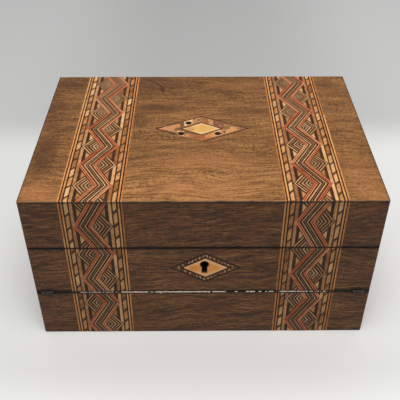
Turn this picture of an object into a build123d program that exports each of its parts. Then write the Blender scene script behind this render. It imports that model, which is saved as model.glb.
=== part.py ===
# Triple-opening writing slope in walnut with parquetry bands.
# Closed at rest: base, fold-out middle tier and hinged cover (the lid) form one box.
# Millimetres, +Z up, +X to the right as seen from the lock side, lock side at -Y.
# Origin: centre of the footprint, on the table.
import os
from build123d import *

os.makedirs("parts", exist_ok=True)

# ---- overall box ----
WIDTH = 305.0            # side to side
DEPTH = 216.0            # lock side to back
BASE_FRONT = 54.5        # height of the base at the lock side
SLOPE_RISE = 54.5        # climb of the writing slope, front to back
LID_DEPTH = 52.0         # height of the cover above the middle tier
WALL = 9.0               # carcase walls
LID_BOARD = 8.0          # thickness of the cover's top board
BASE_BOARD = 6.0         # thickness of the bottom board
BOARD_RAISE = 1.0        # bottom board sits this far off the table
SEAM = 0.4               # joint gap between base, middle tier and cover
EDGE_EASE = 0.6          # eased outer arrises
SLIP = 0.4               # clearance of loose pieces between walls

# ---- fold-out middle tier ----
CHEEK_LENGTH = 76.0      # side cheeks, measured from the lock side
FOLD_LENGTH = 150.0      # whole inner frame, measured from the lock side
RAIL = 6.5               # side rails of the inner frame
LEAF = 5.0               # writing leaf board
CLOTH = 1.0              # velvet on the writing surfaces
CLOTH_DROP = 0.3         # velvet lies this far under the frame's surface
FOLD_BACK = 4.6          # board that closes the fold-out's far side
FOLD_BACK_DROP = 0.4     # and its step below the rim

# ---- base fittings ----
PEN_SECTION = 41.0       # clear depth of the pen and ink section
PARTITION = 3.0          # thin inner partitions
INK_BAY = 41.0           # width of each ink compartment
FLAP_LEDGE = 5.0         # battens that carry the flap
FLAP_LEDGE_H = 6.0
INK_FLOOR_Z = 63.0       # shelf under each inkwell
INK_FLOOR = 3.0
TRAY_DEPTH = 14.0        # pen tray block
TRAY_WALL = 3.0          # rim around the scoop
TRAY_TOP_DROP = 2.0      # tray rim under the partition's top
TRAY_FINGER = 16.0       # radius of the scoop's rounded ends
SEAM_CLOTH_W = 226.0     # cloth hinge strip that shows in the lower joint
SEAM_CLOTH_T = 0.2
SEAM_CLOTH_LIP = 0.3

# ---- inkwells ----
INK_SIDE = 31.0          # square glass bottle
INK_H = 27.0
INK_SHOULDER = 4.0
INK_CORNER = 3.0
INK_GLASS = 3.5
INK_NECK_R = 9.0
INK_MOUTH_R = 7.0
COLLAR_R = 11.0
COLLAR_H = 4.0
CAP_R = 10.6
CAP_H = 4.5
CAP_GAP = 0.3
CAP_PIN_R = 0.8
CAP_EAR_W = 4.0

# ---- hinges ----
PROUD = 0.25             # hinge axes stand this far outside the faces
KNUCKLE_R = 1.9
PIN_R = 0.75
PIN_CLEAR = 0.05
KNUCKLE_GAP = 0.25       # between neighbouring knuckles, and to the notch
LEAF_T = 1.2             # brass hinge leaves
FRONT_HINGE_X = WIDTH / 2 - 10.5           # centre of each strap hinge at the lower joint
FRONT_HINGE_W = 10.8
FRONT_LEAF_L = 7.6
BACK_HINGE_X = WIDTH / 2 - 54.5
BACK_HINGE_W = 42.0
BACK_LEAF_L = 7.6

# ---- lock ----
LOCK_X = 1.0             # lock and keyhole stand a little right of centre
LOCK_W = 44.0
LOCK_H = 27.0
LOCK_SHELL = 1.0
LOCK_FRONT = 3.4         # wood left in front of the lock case
LOCK_CASE_T = 8.2
SELVEDGE_W = 60.0        # lock plate on the tier's top edge
SELVEDGE_T = 1.3
STAPLE_X = 10.0          # the two staples, either side of the lock's centre
STAPLE_W = 3.4           # staple, front to back
STAPLE_T = 1.8           # staple, side to side
STAPLE_L = 5.0           # reach below the link plate
STAPLE_EYE = 1.6
STAPLE_CLEAR = 0.35
STAPLE_SWING = 2.6       # extra room toward the back for the swing out
BOLT_T = 1.1             # noses that pass through the staples
BOLT_THROW = 3.0
BOLT_H = 8.0
BOLT_SLIP = 0.3          # bolt to lock case, front and back
BOLT_STEM = 1.3
STAPLE_FOOT = 0.8        # metal under the staple's eye
KEYHOLE_Z = 89.4
KEYHOLE_R = 3.5
KEYHOLE_SLOT = 4.2
KEYHOLE_DROP = 9.4
KEY_PIN_R = 1.0

# ---- cover fittings ----
LINING_T = 1.0
LETTER_GAP = 7.0         # letter pocket between lining and letter board
LETTER_BOARD = 3.0
LETTER_BOARD_Y = -42.0   # its free edge
LETTER_LEDGE = 5.0

# ---- parquetry ----
INLAY = 0.8              # depth of all inlays
BAND_X = WIDTH / 2 - 59.5                  # centre line of each band
BAND_W = 53.6
RIBBON_W = 15.5          # zigzag ribbon, across the band
RIBBON_EDGE = 3.9        # each red edge of the ribbon
RIBBON_REACH = 16.2      # tips of the ribbon from the centre line
HALF_PERIOD = 29.5
NEST_TIP = 17.4
NEST_FIT = 0.97          # nest in the gap beside the ribbon
STRING = (22.9, 26.8)                      # the outer straight string
ROPE = (18.6, 21.7)
PALE_STRING = (15.0, 17.2)
STRING_BREAK = 3.6       # half length of the break where a tip crosses
# where each ribbon swings furthest to the right, left band and right band
TOP_TIPS = {-1: -27.6, 1: -25.9}
LID_TIPS = {-1: 134.1, 1: 138.3}
TIER_TIPS = {-1: 72.3, 1: 77.7}
BASE_TIPS = {-1: 40.8, 1: 45.5}
LOZENGE = (1.0, 2.4, 44.4, 23.0)           # centre x, y, half width, half height
LOZENGE_FIELD = (19.0, 9.6)
LOZENGE_LINE = 1.0
ESCUTCHEON = (31.5, 18.0)                  # half width, half height
ESCUTCHEON_FIELD = (19.5, 11.4)

# ---- derived ----
HX = WIDTH / 2
FRONT = -DEPTH / 2
BACK = DEPTH / 2
IX = HX - WALL
IF = FRONT + WALL
IB = BACK - WALL
TIER = BASE_FRONT + SLOPE_RISE             # top of the middle tier, top of the base's back
TOTAL = TIER + LID_DEPTH
LID_UNDER = TOTAL - LID_BOARD
STEP_Y = FRONT + CHEEK_LENGTH              # where the cheeks end
FOLD_END = FRONT + FOLD_LENGTH
FOLD_IX = IX - SLIP                        # outside of the fold-out's inner frame
PART_Y = IB - PEN_SECTION                  # rear face of the pen section's partition
INK_X = IX - INK_BAY
AXIS_F = (FRONT - PROUD, BASE_FRONT + SEAM / 2)
AXIS_B = (BACK + PROUD, TIER + SEAM / 2)


def slope(y):
    """Height of the writing plane at y."""
    return BASE_FRONT + (y - FRONT) * SLOPE_RISE / DEPTH


def box(x0, x1, y0, y1, z0, z1):
    return Pos((x0 + x1) / 2, (y0 + y1) / 2, (z0 + z1) / 2) * Box(x1 - x0, y1 - y0, z1 - z0)


def along_x(points, x0, x1):
    """Prism with a profile in the Y-Z plane."""
    return extrude(Plane.YZ.offset(x0) * Polygon(*points, align=None), amount=x1 - x0, dir=(1, 0, 0))


def upright(points, z0, z1):
    """Prism with a plan in the X-Y plane."""
    return extrude(Plane.XY.offset(z0) * Polygon(*points, align=None), amount=z1 - z0, dir=(0, 0, 1))


def slab(x0, x1, y0, y1, low, high):
    """Board that lies along the writing plane, low and high measured from it."""
    return along_x([(y0, slope(y0) + low), (y1, slope(y1) + low),
                    (y1, slope(y1) + high), (y0, slope(y0) + high)], x0, x1)


def rod(x0, x1, axis, r):
    return Pos((x0 + x1) / 2, axis[0], axis[1]) * Rot(0, 90, 0) * Cylinder(r, x1 - x0)


def solids_of(shape):
    if shape is None:
        return []
    if isinstance(shape, (list, tuple)):
        return [s for part in shape for s in part.solids()]
    return list(shape.solids())


def save(name, *shapes):
    pieces = [s for shape in shapes for s in solids_of(shape)]
    for piece in pieces:
        piece.label = name
    whole = pieces[0] if len(pieces) == 1 else Compound(children=pieces)
    whole.label = name
    export_step(whole, "parts/%s.step" % name)


# ---- the three regions that the joints cut the box into ----
hull = box(-HX, HX, FRONT, BACK, 0, TOTAL)
hull = chamfer(hull.edges(), EDGE_EASE)
FAR = 20.0
base_region = along_x([(FRONT - FAR, -FAR), (BACK + FAR, -FAR), (BACK + FAR, slope(BACK + FAR)),
                       (FRONT - FAR, slope(FRONT - FAR))], -HX - FAR, HX + FAR)
tier_region = along_x([(FRONT - FAR, slope(FRONT - FAR) + SEAM), (STEP_Y, slope(STEP_Y) + SEAM),
                       (STEP_Y, TIER), (FRONT - FAR, TIER)], -HX - FAR, HX + FAR)
lid_edge_y = STEP_Y + SEAM
lid_region = along_x([(FRONT - FAR, TIER + SEAM), (lid_edge_y, TIER + SEAM),
                      (lid_edge_y, slope(lid_edge_y) + SEAM), (BACK + FAR, slope(BACK + FAR) + SEAM),
                      (BACK + FAR, TOTAL + FAR), (FRONT - FAR, TOTAL + FAR)], -HX - FAR, HX + FAR)

PLAN = {
    "front": [(-HX, FRONT), (HX, FRONT), (IX, IF), (-IX, IF)],
    "back": [(-IX, IB), (IX, IB), (HX, BACK), (-HX, BACK)],
    "left": [(-HX, FRONT), (-IX, IF), (-IX, IB), (-HX, BACK)],
    "right": [(IX, IF), (HX, FRONT), (HX, BACK), (IX, IB)],
}


def wall(side, region, z1=TOTAL):
    """Mitred carcase wall, cut to one region of the box."""
    return upright(PLAN[side], 0, z1) & hull & region


# ---- hinges: barrels outside the face, leaves let into the two edges ----
def hinge(axis, inward, centre, width, leaf_l):
    """Lower leaf, upper leaf, pin and the notch for the barrel; inward is +1 or -1 along Y."""
    x0, x1 = centre - width / 2, centre + width / 2
    third = width / 3
    face = axis[0] + inward * PROUD
    y_in = face + inward * leaf_l
    y0, y1 = min(axis[0], y_in), max(axis[0], y_in)
    lower = slab(x0, x1, y0, y1, -LEAF_T, 0)
    upper = slab(x0, x1, y0, y1, SEAM, SEAM + LEAF_T)
    middle = (x0 + third, x1 - third)
    clear_r = KNUCKLE_R + KNUCKLE_GAP
    centre_room = rod(middle[0] - KNUCKLE_GAP, middle[1] + KNUCKLE_GAP, axis, clear_r)
    outer_room = rod(x0 - KNUCKLE_GAP, middle[0] + 0, axis, clear_r) \
        + rod(middle[1] - 0, x1 + KNUCKLE_GAP, axis, clear_r)
    lower = (lower - centre_room) + rod(x0, middle[0] - KNUCKLE_GAP, axis, KNUCKLE_R) \
        + rod(middle[1] + KNUCKLE_GAP, x1, axis, KNUCKLE_R)
    upper = (upper - outer_room) + rod(middle[0], middle[1], axis, KNUCKLE_R)
    upper = upper - rod(x0 - 1, x1 + 1, axis, PIN_R + PIN_CLEAR)
    pin = rod(middle[0] - KNUCKLE_GAP, middle[1] + KNUCKLE_GAP, axis, PIN_R)
    notch = rod(x0 - KNUCKLE_GAP, x1 + KNUCKLE_GAP, axis, clear_r)
    lower_bed = slab(x0, x1, y0, y1, -LEAF_T, FAR)
    upper_bed = slab(x0, x1, y0, y1, -FAR, SEAM + LEAF_T)
    return lower, upper, pin, notch, lower_bed, upper_bed


front_hinges = [hinge(AXIS_F, 1, s * FRONT_HINGE_X, FRONT_HINGE_W, FRONT_LEAF_L) for s in (-1, 1)]
back_hinges = [hinge(AXIS_B, -1, s * BACK_HINGE_X, BACK_HINGE_W, BACK_LEAF_L) for s in (-1, 1)]


def beds(shape, hinges, which):
    """Cut the barrel notches and leaf beds of a set of hinges."""
    for h in hinges:
        shape = shape - h[3] - h[which]
    return shape


# ---- parquetry: a band is drawn in its own plane, across (u) and along (v) ----
def zigzag(v, tip):
    """Centre of the ribbon at v; tip is where it swings furthest to +u."""
    swing = RIBBON_REACH - RIBBON_W / 2
    t = ((v - tip) / HALF_PERIOD) % 2.0
    return swing * (1 - 2 * t) if t <= 1 else swing * (2 * t - 3)


def turns(v0, v1, tip):
    """Turning points between v0 and v1, with the side each one points to."""
    first = int((v0 - tip) // HALF_PERIOD) + 1
    last = int((v1 - tip) // HALF_PERIOD)
    return [(tip + k * HALF_PERIOD, 1 if k % 2 == 0 else -1) for k in range(first, last + 1)]


def stripe(a, b, v0, v1, tip):
    """Part of the ribbon between offsets a and b from its centre."""
    vs = [v0] + [v for v, side in turns(v0, v1, tip) if v0 + 0.05 < v < v1 - 0.05] + [v1]
    left = [(zigzag(v, tip) + a, v) for v in vs]
    right = [(zigzag(v, tip) + b, v) for v in reversed(vs)]
    return Polygon(*(left + right), align=None)


def nest_shape(corner, tip_u, v, scale=1.0):
    """Diamond beside the ribbon, from the ribbon's inner corner to the border."""
    mid = (corner + tip_u) / 2
    half = abs(tip_u - corner) / 2 * scale
    rise = HALF_PERIOD * 0.45 * scale
    return Polygon((mid - half, v), (mid, v - rise), (mid + half, v), (mid, v + rise), align=None)


def pieces(groups, clip):
    """Clip each list of flat pieces to the band's length."""
    out = []
    for group in groups:
        faces = []
        for shape in group:
            faces += list((shape & clip).faces())
        out.append([f for f in faces if f.area > 0.05])
    return out


def band_pieces(v0, v1, tip):
    """Flat pieces of one stretch of band: light, red, olive and the full outline."""
    clip = Pos(0, (v0 + v1) / 2) * Rectangle(BAND_W, v1 - v0)
    half = RIBBON_W / 2
    red = [stripe(-half, -half + RIBBON_EDGE, v0, v1, tip),
           stripe(half - RIBBON_EDGE, half, v0, v1, tip)]
    olive = [stripe(-half + RIBBON_EDGE, half - RIBBON_EDGE, v0, v1, tip)]
    light = []
    for side in (-1, 1):
        for a, b in (STRING, ROPE):
            light.append(Pos(side * (a + b) / 2, (v0 + v1) / 2) * Rectangle(b - a, v1 - v0))
    corner = RIBBON_REACH - RIBBON_W
    near = turns(v0 - HALF_PERIOD, v1 + HALF_PERIOD, tip)
    for side in (-1, 1):
        breaks = [v for v, s in near]
        start = v0
        for v in breaks + [v1 + HALF_PERIOD]:
            stop = min(v - STRING_BREAK, v1)
            if stop - start > 1.0:
                u = side * sum(PALE_STRING) / 2
                light.append(Pos(u, (start + stop) / 2)
                             * Rectangle(PALE_STRING[1] - PALE_STRING[0], stop - start))
            start = max(v + STRING_BREAK, v0)
    for v, side in near:
        inner, outer = side * corner, -side * NEST_TIP
        olive.append(nest_shape(inner, outer, v, NEST_FIT))
    return pieces([light, red, olive], clip), clip


def raise_pieces(flat, place, inward):
    """Turn flat faces into inlays INLAY thick, down from the placed plane."""
    out = []
    for face in flat:
        out += solids_of(extrude(place * face, amount=INLAY, dir=inward))
    return out


def bands(stretches, region):
    """Solids of several stretches by wood: ground, light, red, olive."""
    woods = [[], [], [], []]
    for plane, centre, v0, v1, tip in stretches:
        (light, red, olive), outline = band_pieces(v0, v1, tip)
        place = plane * Pos(centre, 0)
        ground = outline - (light + red + olive)
        for k, flat in enumerate((list(ground.faces()), light, red, olive)):
            whole = Compound(children=raise_pieces(flat, place, plane.z_dir * -1))
            woods[k] += solids_of(whole & region)
    return woods


def diamond(cx, cy, hw, hh):
    return Polygon((cx - hw, cy), (cx, cy - hh), (cx + hw, cy), (cx, cy + hh), align=None)


top_plane = Plane((0, 0, TOTAL), x_dir=(1, 0, 0), z_dir=(0, 0, 1))
front_plane = Plane((0, FRONT, 0), x_dir=(1, 0, 0), z_dir=(0, -1, 0))
inner_front = FRONT + INLAY

lid_band_zone = hull & lid_region
lid_woods = bands([(top_plane, s * BAND_X, FRONT, BACK, TOP_TIPS[s]) for s in (-1, 1)]
                  + [(front_plane, s * BAND_X, TIER + SEAM, TOTAL - INLAY, LID_TIPS[s] + HALF_PERIOD)
                     for s in (-1, 1)], lid_band_zone)
tier_woods = bands([(front_plane, s * BAND_X, BASE_FRONT, TIER, TIER_TIPS[s] + HALF_PERIOD)
                    for s in (-1, 1)], hull & tier_region)
base_woods = bands([(front_plane, s * BAND_X, 0, BASE_FRONT + SEAM, BASE_TIPS[s]) for s in (-1, 1)],
                   hull & base_region)


def band_pockets(shape, top=False):
    for s in (-1, 1):
        x0, x1 = s * BAND_X - BAND_W / 2, s * BAND_X + BAND_W / 2
        shape = shape - box(x0, x1, FRONT - FAR, FRONT + INLAY, -FAR, TOTAL + FAR)
        if top:
            shape = shape - box(x0, x1, FRONT - FAR, BACK + FAR, TOTAL - INLAY, TOTAL + FAR)
    return shape


# ---- base ----
base_front = beds(band_pockets(wall("front", base_region)), front_hinges, 4)
save("base_front_wall", base_front)
save("base_back_wall", beds(wall("back", base_region), back_hinges, 4))
for side in ("left", "right"):
    save("base_%s_wall" % side, beds(wall(side, base_region), front_hinges, 4))
save("base_bottom_board", box(-IX, IX, IF, IB, BOARD_RAISE, BOARD_RAISE + BASE_BOARD))
floor_z = BOARD_RAISE + BASE_BOARD

flap_low = -CLOTH_DROP - CLOTH - LEAF
part_y0 = PART_Y - PARTITION
partition_top = slope(part_y0) - CLOTH_DROP
save("pen_section_partition", box(-IX, IX, part_y0, PART_Y, floor_z, partition_top))
bays = []
for s in (-1, 1):
    x_in = s * (INK_X - PARTITION)
    x_wall = s * INK_X
    a, b = min(x_in, x_wall), max(x_in, x_wall)
    c, d = min(x_wall, s * IX), max(x_wall, s * IX)
    upright_wall = box(a, b, PART_Y, IB, floor_z, partition_top)
    shelf = box(c, d, PART_Y, IB, INK_FLOOR_Z, INK_FLOOR_Z + INK_FLOOR)
    bays.append(upright_wall + shelf)
save("ink_compartments", *bays)

ledges = []
ledge_hi = flap_low
for s in (-1, 1):
    a, b = sorted((s * IX, s * (IX - FLAP_LEDGE)))
    ledges.append(slab(a, b, IF + FLAP_LEDGE, part_y0 - FLAP_LEDGE, ledge_hi - FLAP_LEDGE_H, ledge_hi))
ledges.append(slab(-IX, IX, IF, IF + FLAP_LEDGE, ledge_hi - FLAP_LEDGE_H, ledge_hi))
ledges.append(slab(-IX, IX, part_y0 - FLAP_LEDGE, part_y0, ledge_hi - FLAP_LEDGE_H, ledge_hi))
save("flap_ledges", ledges[0] + ledges[2] + ledges[3] + ledges[1])
flap_y0, flap_y1 = IF + SLIP, part_y0 - SLIP
save("base_flap", slab(-IX + SLIP, IX - SLIP, flap_y0, flap_y1, flap_low, -CLOTH_DROP - CLOTH))
save("base_flap_cloth", slab(-IX + SLIP, IX - SLIP, flap_y0, flap_y1, -CLOTH_DROP - CLOTH, -CLOTH_DROP))
save("seam_cloth", slab(-SEAM_CLOTH_W / 2, SEAM_CLOTH_W / 2, FRONT - SEAM_CLOTH_LIP, IF, 0, SEAM_CLOTH_T))

save("front_hinge_base_leaves", *[h[0] for h in front_hinges])
save("back_hinge_base_leaves", *[h[0] for h in back_hinges])
save("hinge_pins", *[h[2] for h in front_hinges + back_hinges])
for k, wood in enumerate(("ground", "light", "red", "olive")):
    save("base_band_%s" % wood, *base_woods[k])

# ---- pen tray: a block with a long scoop, rounded at both ends ----
tray_z1 = partition_top - TRAY_TOP_DROP
tray_z0 = tray_z1 - TRAY_DEPTH
tray_x = INK_X - PARTITION - SLIP
tray_y0, tray_y1 = PART_Y + SLIP, IB - SLIP
tray = box(-tray_x, tray_x, tray_y0, tray_y1, tray_z0, tray_z1)
scoop_y0, scoop_y1 = tray_y0 + TRAY_WALL, tray_y1 - TRAY_WALL
scoop_d = TRAY_DEPTH - TRAY_WALL
scoop_plan = Plane.XY.offset(tray_z1) * Pos(0, (scoop_y0 + scoop_y1) / 2) \
    * RectangleRounded(2 * (tray_x - TRAY_WALL), scoop_y1 - scoop_y0, TRAY_FINGER)
tray = tray - extrude(scoop_plan, amount=-scoop_d, taper=22)
save("pen_tray", tray)
rest = []
for s in (-1, 1):
    a, b = sorted((s * (INK_X - PARTITION), s * (INK_X - PARTITION - FLAP_LEDGE)))
    rest.append(box(a, b, PART_Y, IB, tray_z0 - FLAP_LEDGE_H, tray_z0))
save("tray_rests", *rest)

# ---- inkwells: square glass bottles with brass collars and hinged caps ----
ink_cy = (PART_Y + IB) / 2
ink_z0 = INK_FLOOR_Z + INK_FLOOR
cap_axes = {}
for s, side in ((-1, "left"), (1, "right")):
    cx = s * (INK_X + IX) / 2
    square = Rectangle(INK_SIDE, INK_SIDE)
    plan = Pos(cx, ink_cy) * chamfer(square.vertices(), INK_CORNER)
    shoulder_z = ink_z0 + INK_H - INK_SHOULDER
    body = extrude(Plane.XY.offset(ink_z0) * plan, amount=INK_H - INK_SHOULDER)
    body = body + extrude(Plane.XY.offset(shoulder_z) * plan, amount=INK_SHOULDER, taper=35)
    neck_z = ink_z0 + INK_H
    body = body + Pos(cx, ink_cy, neck_z + COLLAR_H / 2 - 0.5) * Cylinder(INK_NECK_R, COLLAR_H + 1 - 2)
    well_r = INK_SIDE / 2 - INK_GLASS
    body = body - Pos(cx, ink_cy, ink_z0 + INK_GLASS + (INK_H - 2 * INK_GLASS) / 2) \
        * Cylinder(well_r, INK_H - 2 * INK_GLASS)
    body = body - Pos(cx, ink_cy, neck_z) * Cylinder(INK_MOUTH_R, 4 * INK_GLASS)
    save("inkwell_%s_bottle" % side, body)
    collar_z1 = neck_z + COLLAR_H
    ring = Pos(cx, ink_cy, neck_z + COLLAR_H / 2) * Cylinder(COLLAR_R, COLLAR_H)
    ring = ring - Pos(cx, ink_cy, neck_z + COLLAR_H / 2) * Cylinder(INK_NECK_R, COLLAR_H + 2)
    axis_y = ink_cy + COLLAR_R + CAP_PIN_R + CAP_GAP
    axis_z = collar_z1 + CAP_GAP / 2
    ear = CAP_EAR_W / 2
    lug = box(cx - 2.2 * ear, cx + 2.2 * ear, ink_cy + INK_NECK_R + 0.5, axis_y + CAP_PIN_R * 1.6,
              neck_z + 1, axis_z + CAP_PIN_R * 1.25)
    lug = lug - box(cx - 3 * ear, cx + 3 * ear, ink_cy, axis_y - CAP_PIN_R * 1.6, collar_z1, TIER)
    collar = (ring + lug) - rod(cx - ear - CAP_GAP, cx + ear + CAP_GAP, (axis_y, axis_z),
                                CAP_PIN_R * 2 + CAP_GAP)
    collar = collar - Pos(cx, ink_cy, collar_z1 + 5) * Cylinder(CAP_R + CAP_GAP, 10)
    pin = rod(cx - 2.2 * ear, cx + 2.2 * ear, (axis_y, axis_z), CAP_PIN_R)
    save("inkwell_%s_collar" % side, collar + pin)
    cap_z0 = collar_z1 + CAP_GAP
    profile = Polygon((0, 0), (CAP_R, 0), (CAP_R, CAP_H * 0.55), (CAP_R * 0.6, CAP_H), (0, CAP_H),
                      align=None)
    cap = Pos(cx, ink_cy, cap_z0) * revolve(Plane.XZ * profile, Axis.Z)
    arm = box(cx - ear, cx + ear, ink_cy + CAP_R - 3, axis_y, cap_z0, cap_z0 + 1.6)
    arm = arm + rod(cx - ear, cx + ear, (axis_y, axis_z), CAP_PIN_R * 2)
    arm = arm - rod(cx - ear - 1, cx + ear + 1, (axis_y, axis_z), CAP_PIN_R + PIN_CLEAR)
    arm = arm - box(cx - ear - 1, cx + ear + 1, ink_cy + CAP_R - 4, ink_cy + COLLAR_R + CAP_GAP,
                    cap_z0 - 5, cap_z0)
    save("inkwell_%s_cap" % side, cap + arm)
    cap_axes[side] = (cx, axis_y, axis_z)

# ---- middle tier ----
lock_y0 = FRONT + LOCK_FRONT
lock_y1 = lock_y0 + LOCK_CASE_T
lock_z1 = TIER - SELVEDGE_T
lock_z0 = lock_z1 - LOCK_H
lock_x0, lock_x1 = LOCK_X - LOCK_W / 2, LOCK_X + LOCK_W / 2
staple_y0 = lock_y0 + LOCK_SHELL + STAPLE_CLEAR
staple_y1 = staple_y0 + STAPLE_W


def keyhole(y0, y1, grow=0.0):
    r = KEYHOLE_R + grow
    head = Pos(LOCK_X, (y0 + y1) / 2, KEYHOLE_Z) * Rot(90, 0, 0) * Cylinder(r, y1 - y0)
    w = KEYHOLE_SLOT / 2 + grow
    return head + box(LOCK_X - w, LOCK_X + w, y0, y1, KEYHOLE_Z - KEYHOLE_DROP - grow, KEYHOLE_Z)


def staple_room(z0, z1):
    """Clear way for both staples, longer toward the back where they swing out."""
    room = None
    for s in (-1, 1):
        cx = LOCK_X + s * STAPLE_X
        w = STAPLE_T / 2 + STAPLE_CLEAR
        slot = box(cx - w, cx + w, staple_y0 - STAPLE_CLEAR, staple_y1 + STAPLE_SWING, z0, z1)
        room = slot if room is None else room + slot
    return room


front_wall = band_pockets(wall("front", tier_region))
front_wall = beds(front_wall, front_hinges, 5)
front_wall = front_wall - box(lock_x0, lock_x1, lock_y0, IF + FAR, lock_z0, TIER + FAR)
selvedge_x0, selvedge_x1 = LOCK_X - SELVEDGE_W / 2, LOCK_X + SELVEDGE_W / 2
front_wall = front_wall - box(selvedge_x0, selvedge_x1, lock_y0, IF + FAR, lock_z1, TIER + FAR)
esc_c = (LOCK_X + 0.9, KEYHOLE_Z - 4.0)
esc_outer = front_plane * diamond(esc_c[0], esc_c[1], *ESCUTCHEON)
esc_inner = front_plane * diamond(esc_c[0], esc_c[1], *ESCUTCHEON_FIELD)
front_wall = front_wall - extrude(esc_outer, amount=INLAY, dir=(0, 1, 0)) - keyhole(FRONT - 1, lock_y0 + 1)
save("foldout_front_wall", front_wall)
esc_field = extrude(esc_inner, amount=INLAY, dir=(0, 1, 0))
save("escutcheon_border", extrude(esc_outer, amount=INLAY, dir=(0, 1, 0)) - esc_field)
save("escutcheon_field", esc_field - keyhole(FRONT - 1, FRONT + 3))

cheek_in = FOLD_IX
for s, side in ((-1, "left"), (1, "right")):
    plan = [(s * HX, FRONT), (s * HX, STEP_Y), (s * cheek_in, STEP_Y), (s * cheek_in, IF),
            (s * IX, IF)]
    cheek = upright(plan, 0, TOTAL) & hull & tier_region
    save("foldout_%s_cheek" % side, beds(cheek, front_hinges, 5))

lid_swing = SEAM + CLOTH_DROP
rail_x0, rail_x1 = FOLD_IX - RAIL, FOLD_IX
inner_top = TIER - FOLD_BACK_DROP
inner_region = along_x([(IF, slope(IF) + SEAM), (FOLD_END, slope(FOLD_END) + SEAM),
                        (FOLD_END, inner_top), (IF, inner_top)], -HX, HX)
rails = [box(*sorted((s * rail_x0, s * rail_x1)), IF, FOLD_END, 0, TOTAL) & inner_region for s in (-1, 1)]
save("foldout_side_rails", *rails)
save("foldout_rear_rail", box(-rail_x0, rail_x0, FOLD_END - RAIL, FOLD_END, 0, TOTAL) & inner_region)
lock_clear = box(lock_x0 - 0.5, lock_x1 + 0.5, IF - 1, lock_y1 + 0.5, lock_z0 - 1, TIER + 1)
plate_clear = box(selvedge_x0 - 0.5, selvedge_x1 + 0.5, IF - 1, lock_y1 + 0.5, lock_z1 - 1, TIER + 1)
back_board = box(-rail_x0, rail_x0, IF, FOLD_END - RAIL, inner_top - FOLD_BACK, inner_top)
save("foldout_back_board", back_board - lock_clear - plate_clear)
leaf_lo = SEAM + CLOTH_DROP + CLOTH
save("foldout_leaf", slab(-rail_x0, rail_x0, IF, FOLD_END - RAIL, leaf_lo, leaf_lo + LEAF))
save("foldout_leaf_cloth", slab(-rail_x0, rail_x0, IF, FOLD_END - RAIL, leaf_lo - CLOTH, leaf_lo))
save("front_hinge_fold_leaves", *[h[1] for h in front_hinges])
for k, wood in enumerate(("ground", "light", "red", "olive")):
    save("foldout_band_%s" % wood, *tier_woods[k])

# lock: shell with a key pin, plate on the tier's edge, sliding double bolt
case = box(lock_x0, lock_x1, lock_y0, lock_y1, lock_z0, lock_z1)
case = case - box(lock_x0 + LOCK_SHELL, lock_x1 - LOCK_SHELL, lock_y0 + LOCK_SHELL,
                  lock_y1 - LOCK_SHELL, lock_z0 + LOCK_SHELL, lock_z1 - LOCK_SHELL)
case = case - staple_room(lock_z1 - LOCK_SHELL - 1, lock_z1 + 1) - keyhole(lock_y0 - 1, lock_y0 + 2)
key_pin = Pos(LOCK_X, lock_y1 - LOCK_SHELL - 1.5, KEYHOLE_Z) * Rot(90, 0, 0) * Cylinder(KEY_PIN_R, 3.2)
save("lock_case", case + key_pin)
plate = box(selvedge_x0, selvedge_x1, lock_y0, lock_y1, lock_z1, TIER)
save("lock_plate", plate - staple_room(lock_z1 - 1, TIER + 1))
staple_mid = (staple_y0 + staple_y1) / 2
eye_z = TIER + SEAM - STAPLE_L + STAPLE_EYE / 2 + STAPLE_FOOT
cavity_z1 = lock_z1 - LOCK_SHELL
bar_z1 = TIER + SEAM - STAPLE_L - 0.5
bolt_y0, bolt_y1 = lock_y0 + LOCK_SHELL + BOLT_SLIP, lock_y1 - LOCK_SHELL - BOLT_SLIP
nose_gap = STAPLE_T / 2 + 0.5
nose_l = BOLT_THROW + 0.7
bolt_x0 = LOCK_X - STAPLE_X - nose_gap - nose_l - BOLT_STEM
bolt = box(bolt_x0, LOCK_X + STAPLE_X - nose_gap - nose_l + BOLT_STEM, bolt_y0, bolt_y1,
           bar_z1 - BOLT_H, bar_z1)
for s in (-1, 1):
    tip = LOCK_X + s * STAPLE_X - nose_gap
    stem = box(tip - nose_l - BOLT_STEM, tip - nose_l, staple_mid - BOLT_T / 2, staple_mid + BOLT_T / 2,
               bar_z1 - 1, eye_z + BOLT_T / 2)
    nose = box(tip - nose_l - BOLT_STEM, tip, staple_mid - BOLT_T / 2, staple_mid + BOLT_T / 2,
               eye_z - BOLT_T / 2, eye_z + BOLT_T / 2)
    bolt = bolt + stem + nose
talon = box(LOCK_X - 2.2, LOCK_X + 2.2, bolt_y0 - 1, bolt_y1 + 1, bar_z1 - BOLT_H - 1, bar_z1 - BOLT_H + 2.4)
bolt = bolt - talon
save("lock_bolt", bolt)

# ---- cover ----
walls_top = LID_UNDER
lid_front = band_pockets(wall("front", lid_region, walls_top))
link_t = SELVEDGE_T
link_y0, link_y1 = lock_y0, lock_y0 + 5.4
link_bed = box(selvedge_x0, selvedge_x1, link_y0, link_y1, TIER, TIER + SEAM + link_t)
save("lid_front_wall", lid_front - link_bed)
save("lid_back_wall", beds(wall("back", lid_region, walls_top), back_hinges, 5))
for side in ("left", "right"):
    save("lid_%s_wall" % side, wall(side, lid_region, walls_top))
board = band_pockets(box(-HX, HX, FRONT, BACK, LID_UNDER, TOTAL) & hull, top=True)
loz_outer = top_plane * diamond(*LOZENGE)
loz_inner = top_plane * diamond(LOZENGE[0] + 1.0, LOZENGE[1] - 0.6, *LOZENGE_FIELD)
board = board - extrude(loz_outer, amount=INLAY, dir=(0, 0, -1))
save("lid_top_board", board)
loz_field = extrude(loz_inner, amount=INLAY, dir=(0, 0, -1))
save("lozenge_field", loz_field)
save("lozenge_border", extrude(loz_outer, amount=INLAY, dir=(0, 0, -1)) - loz_field)
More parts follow.
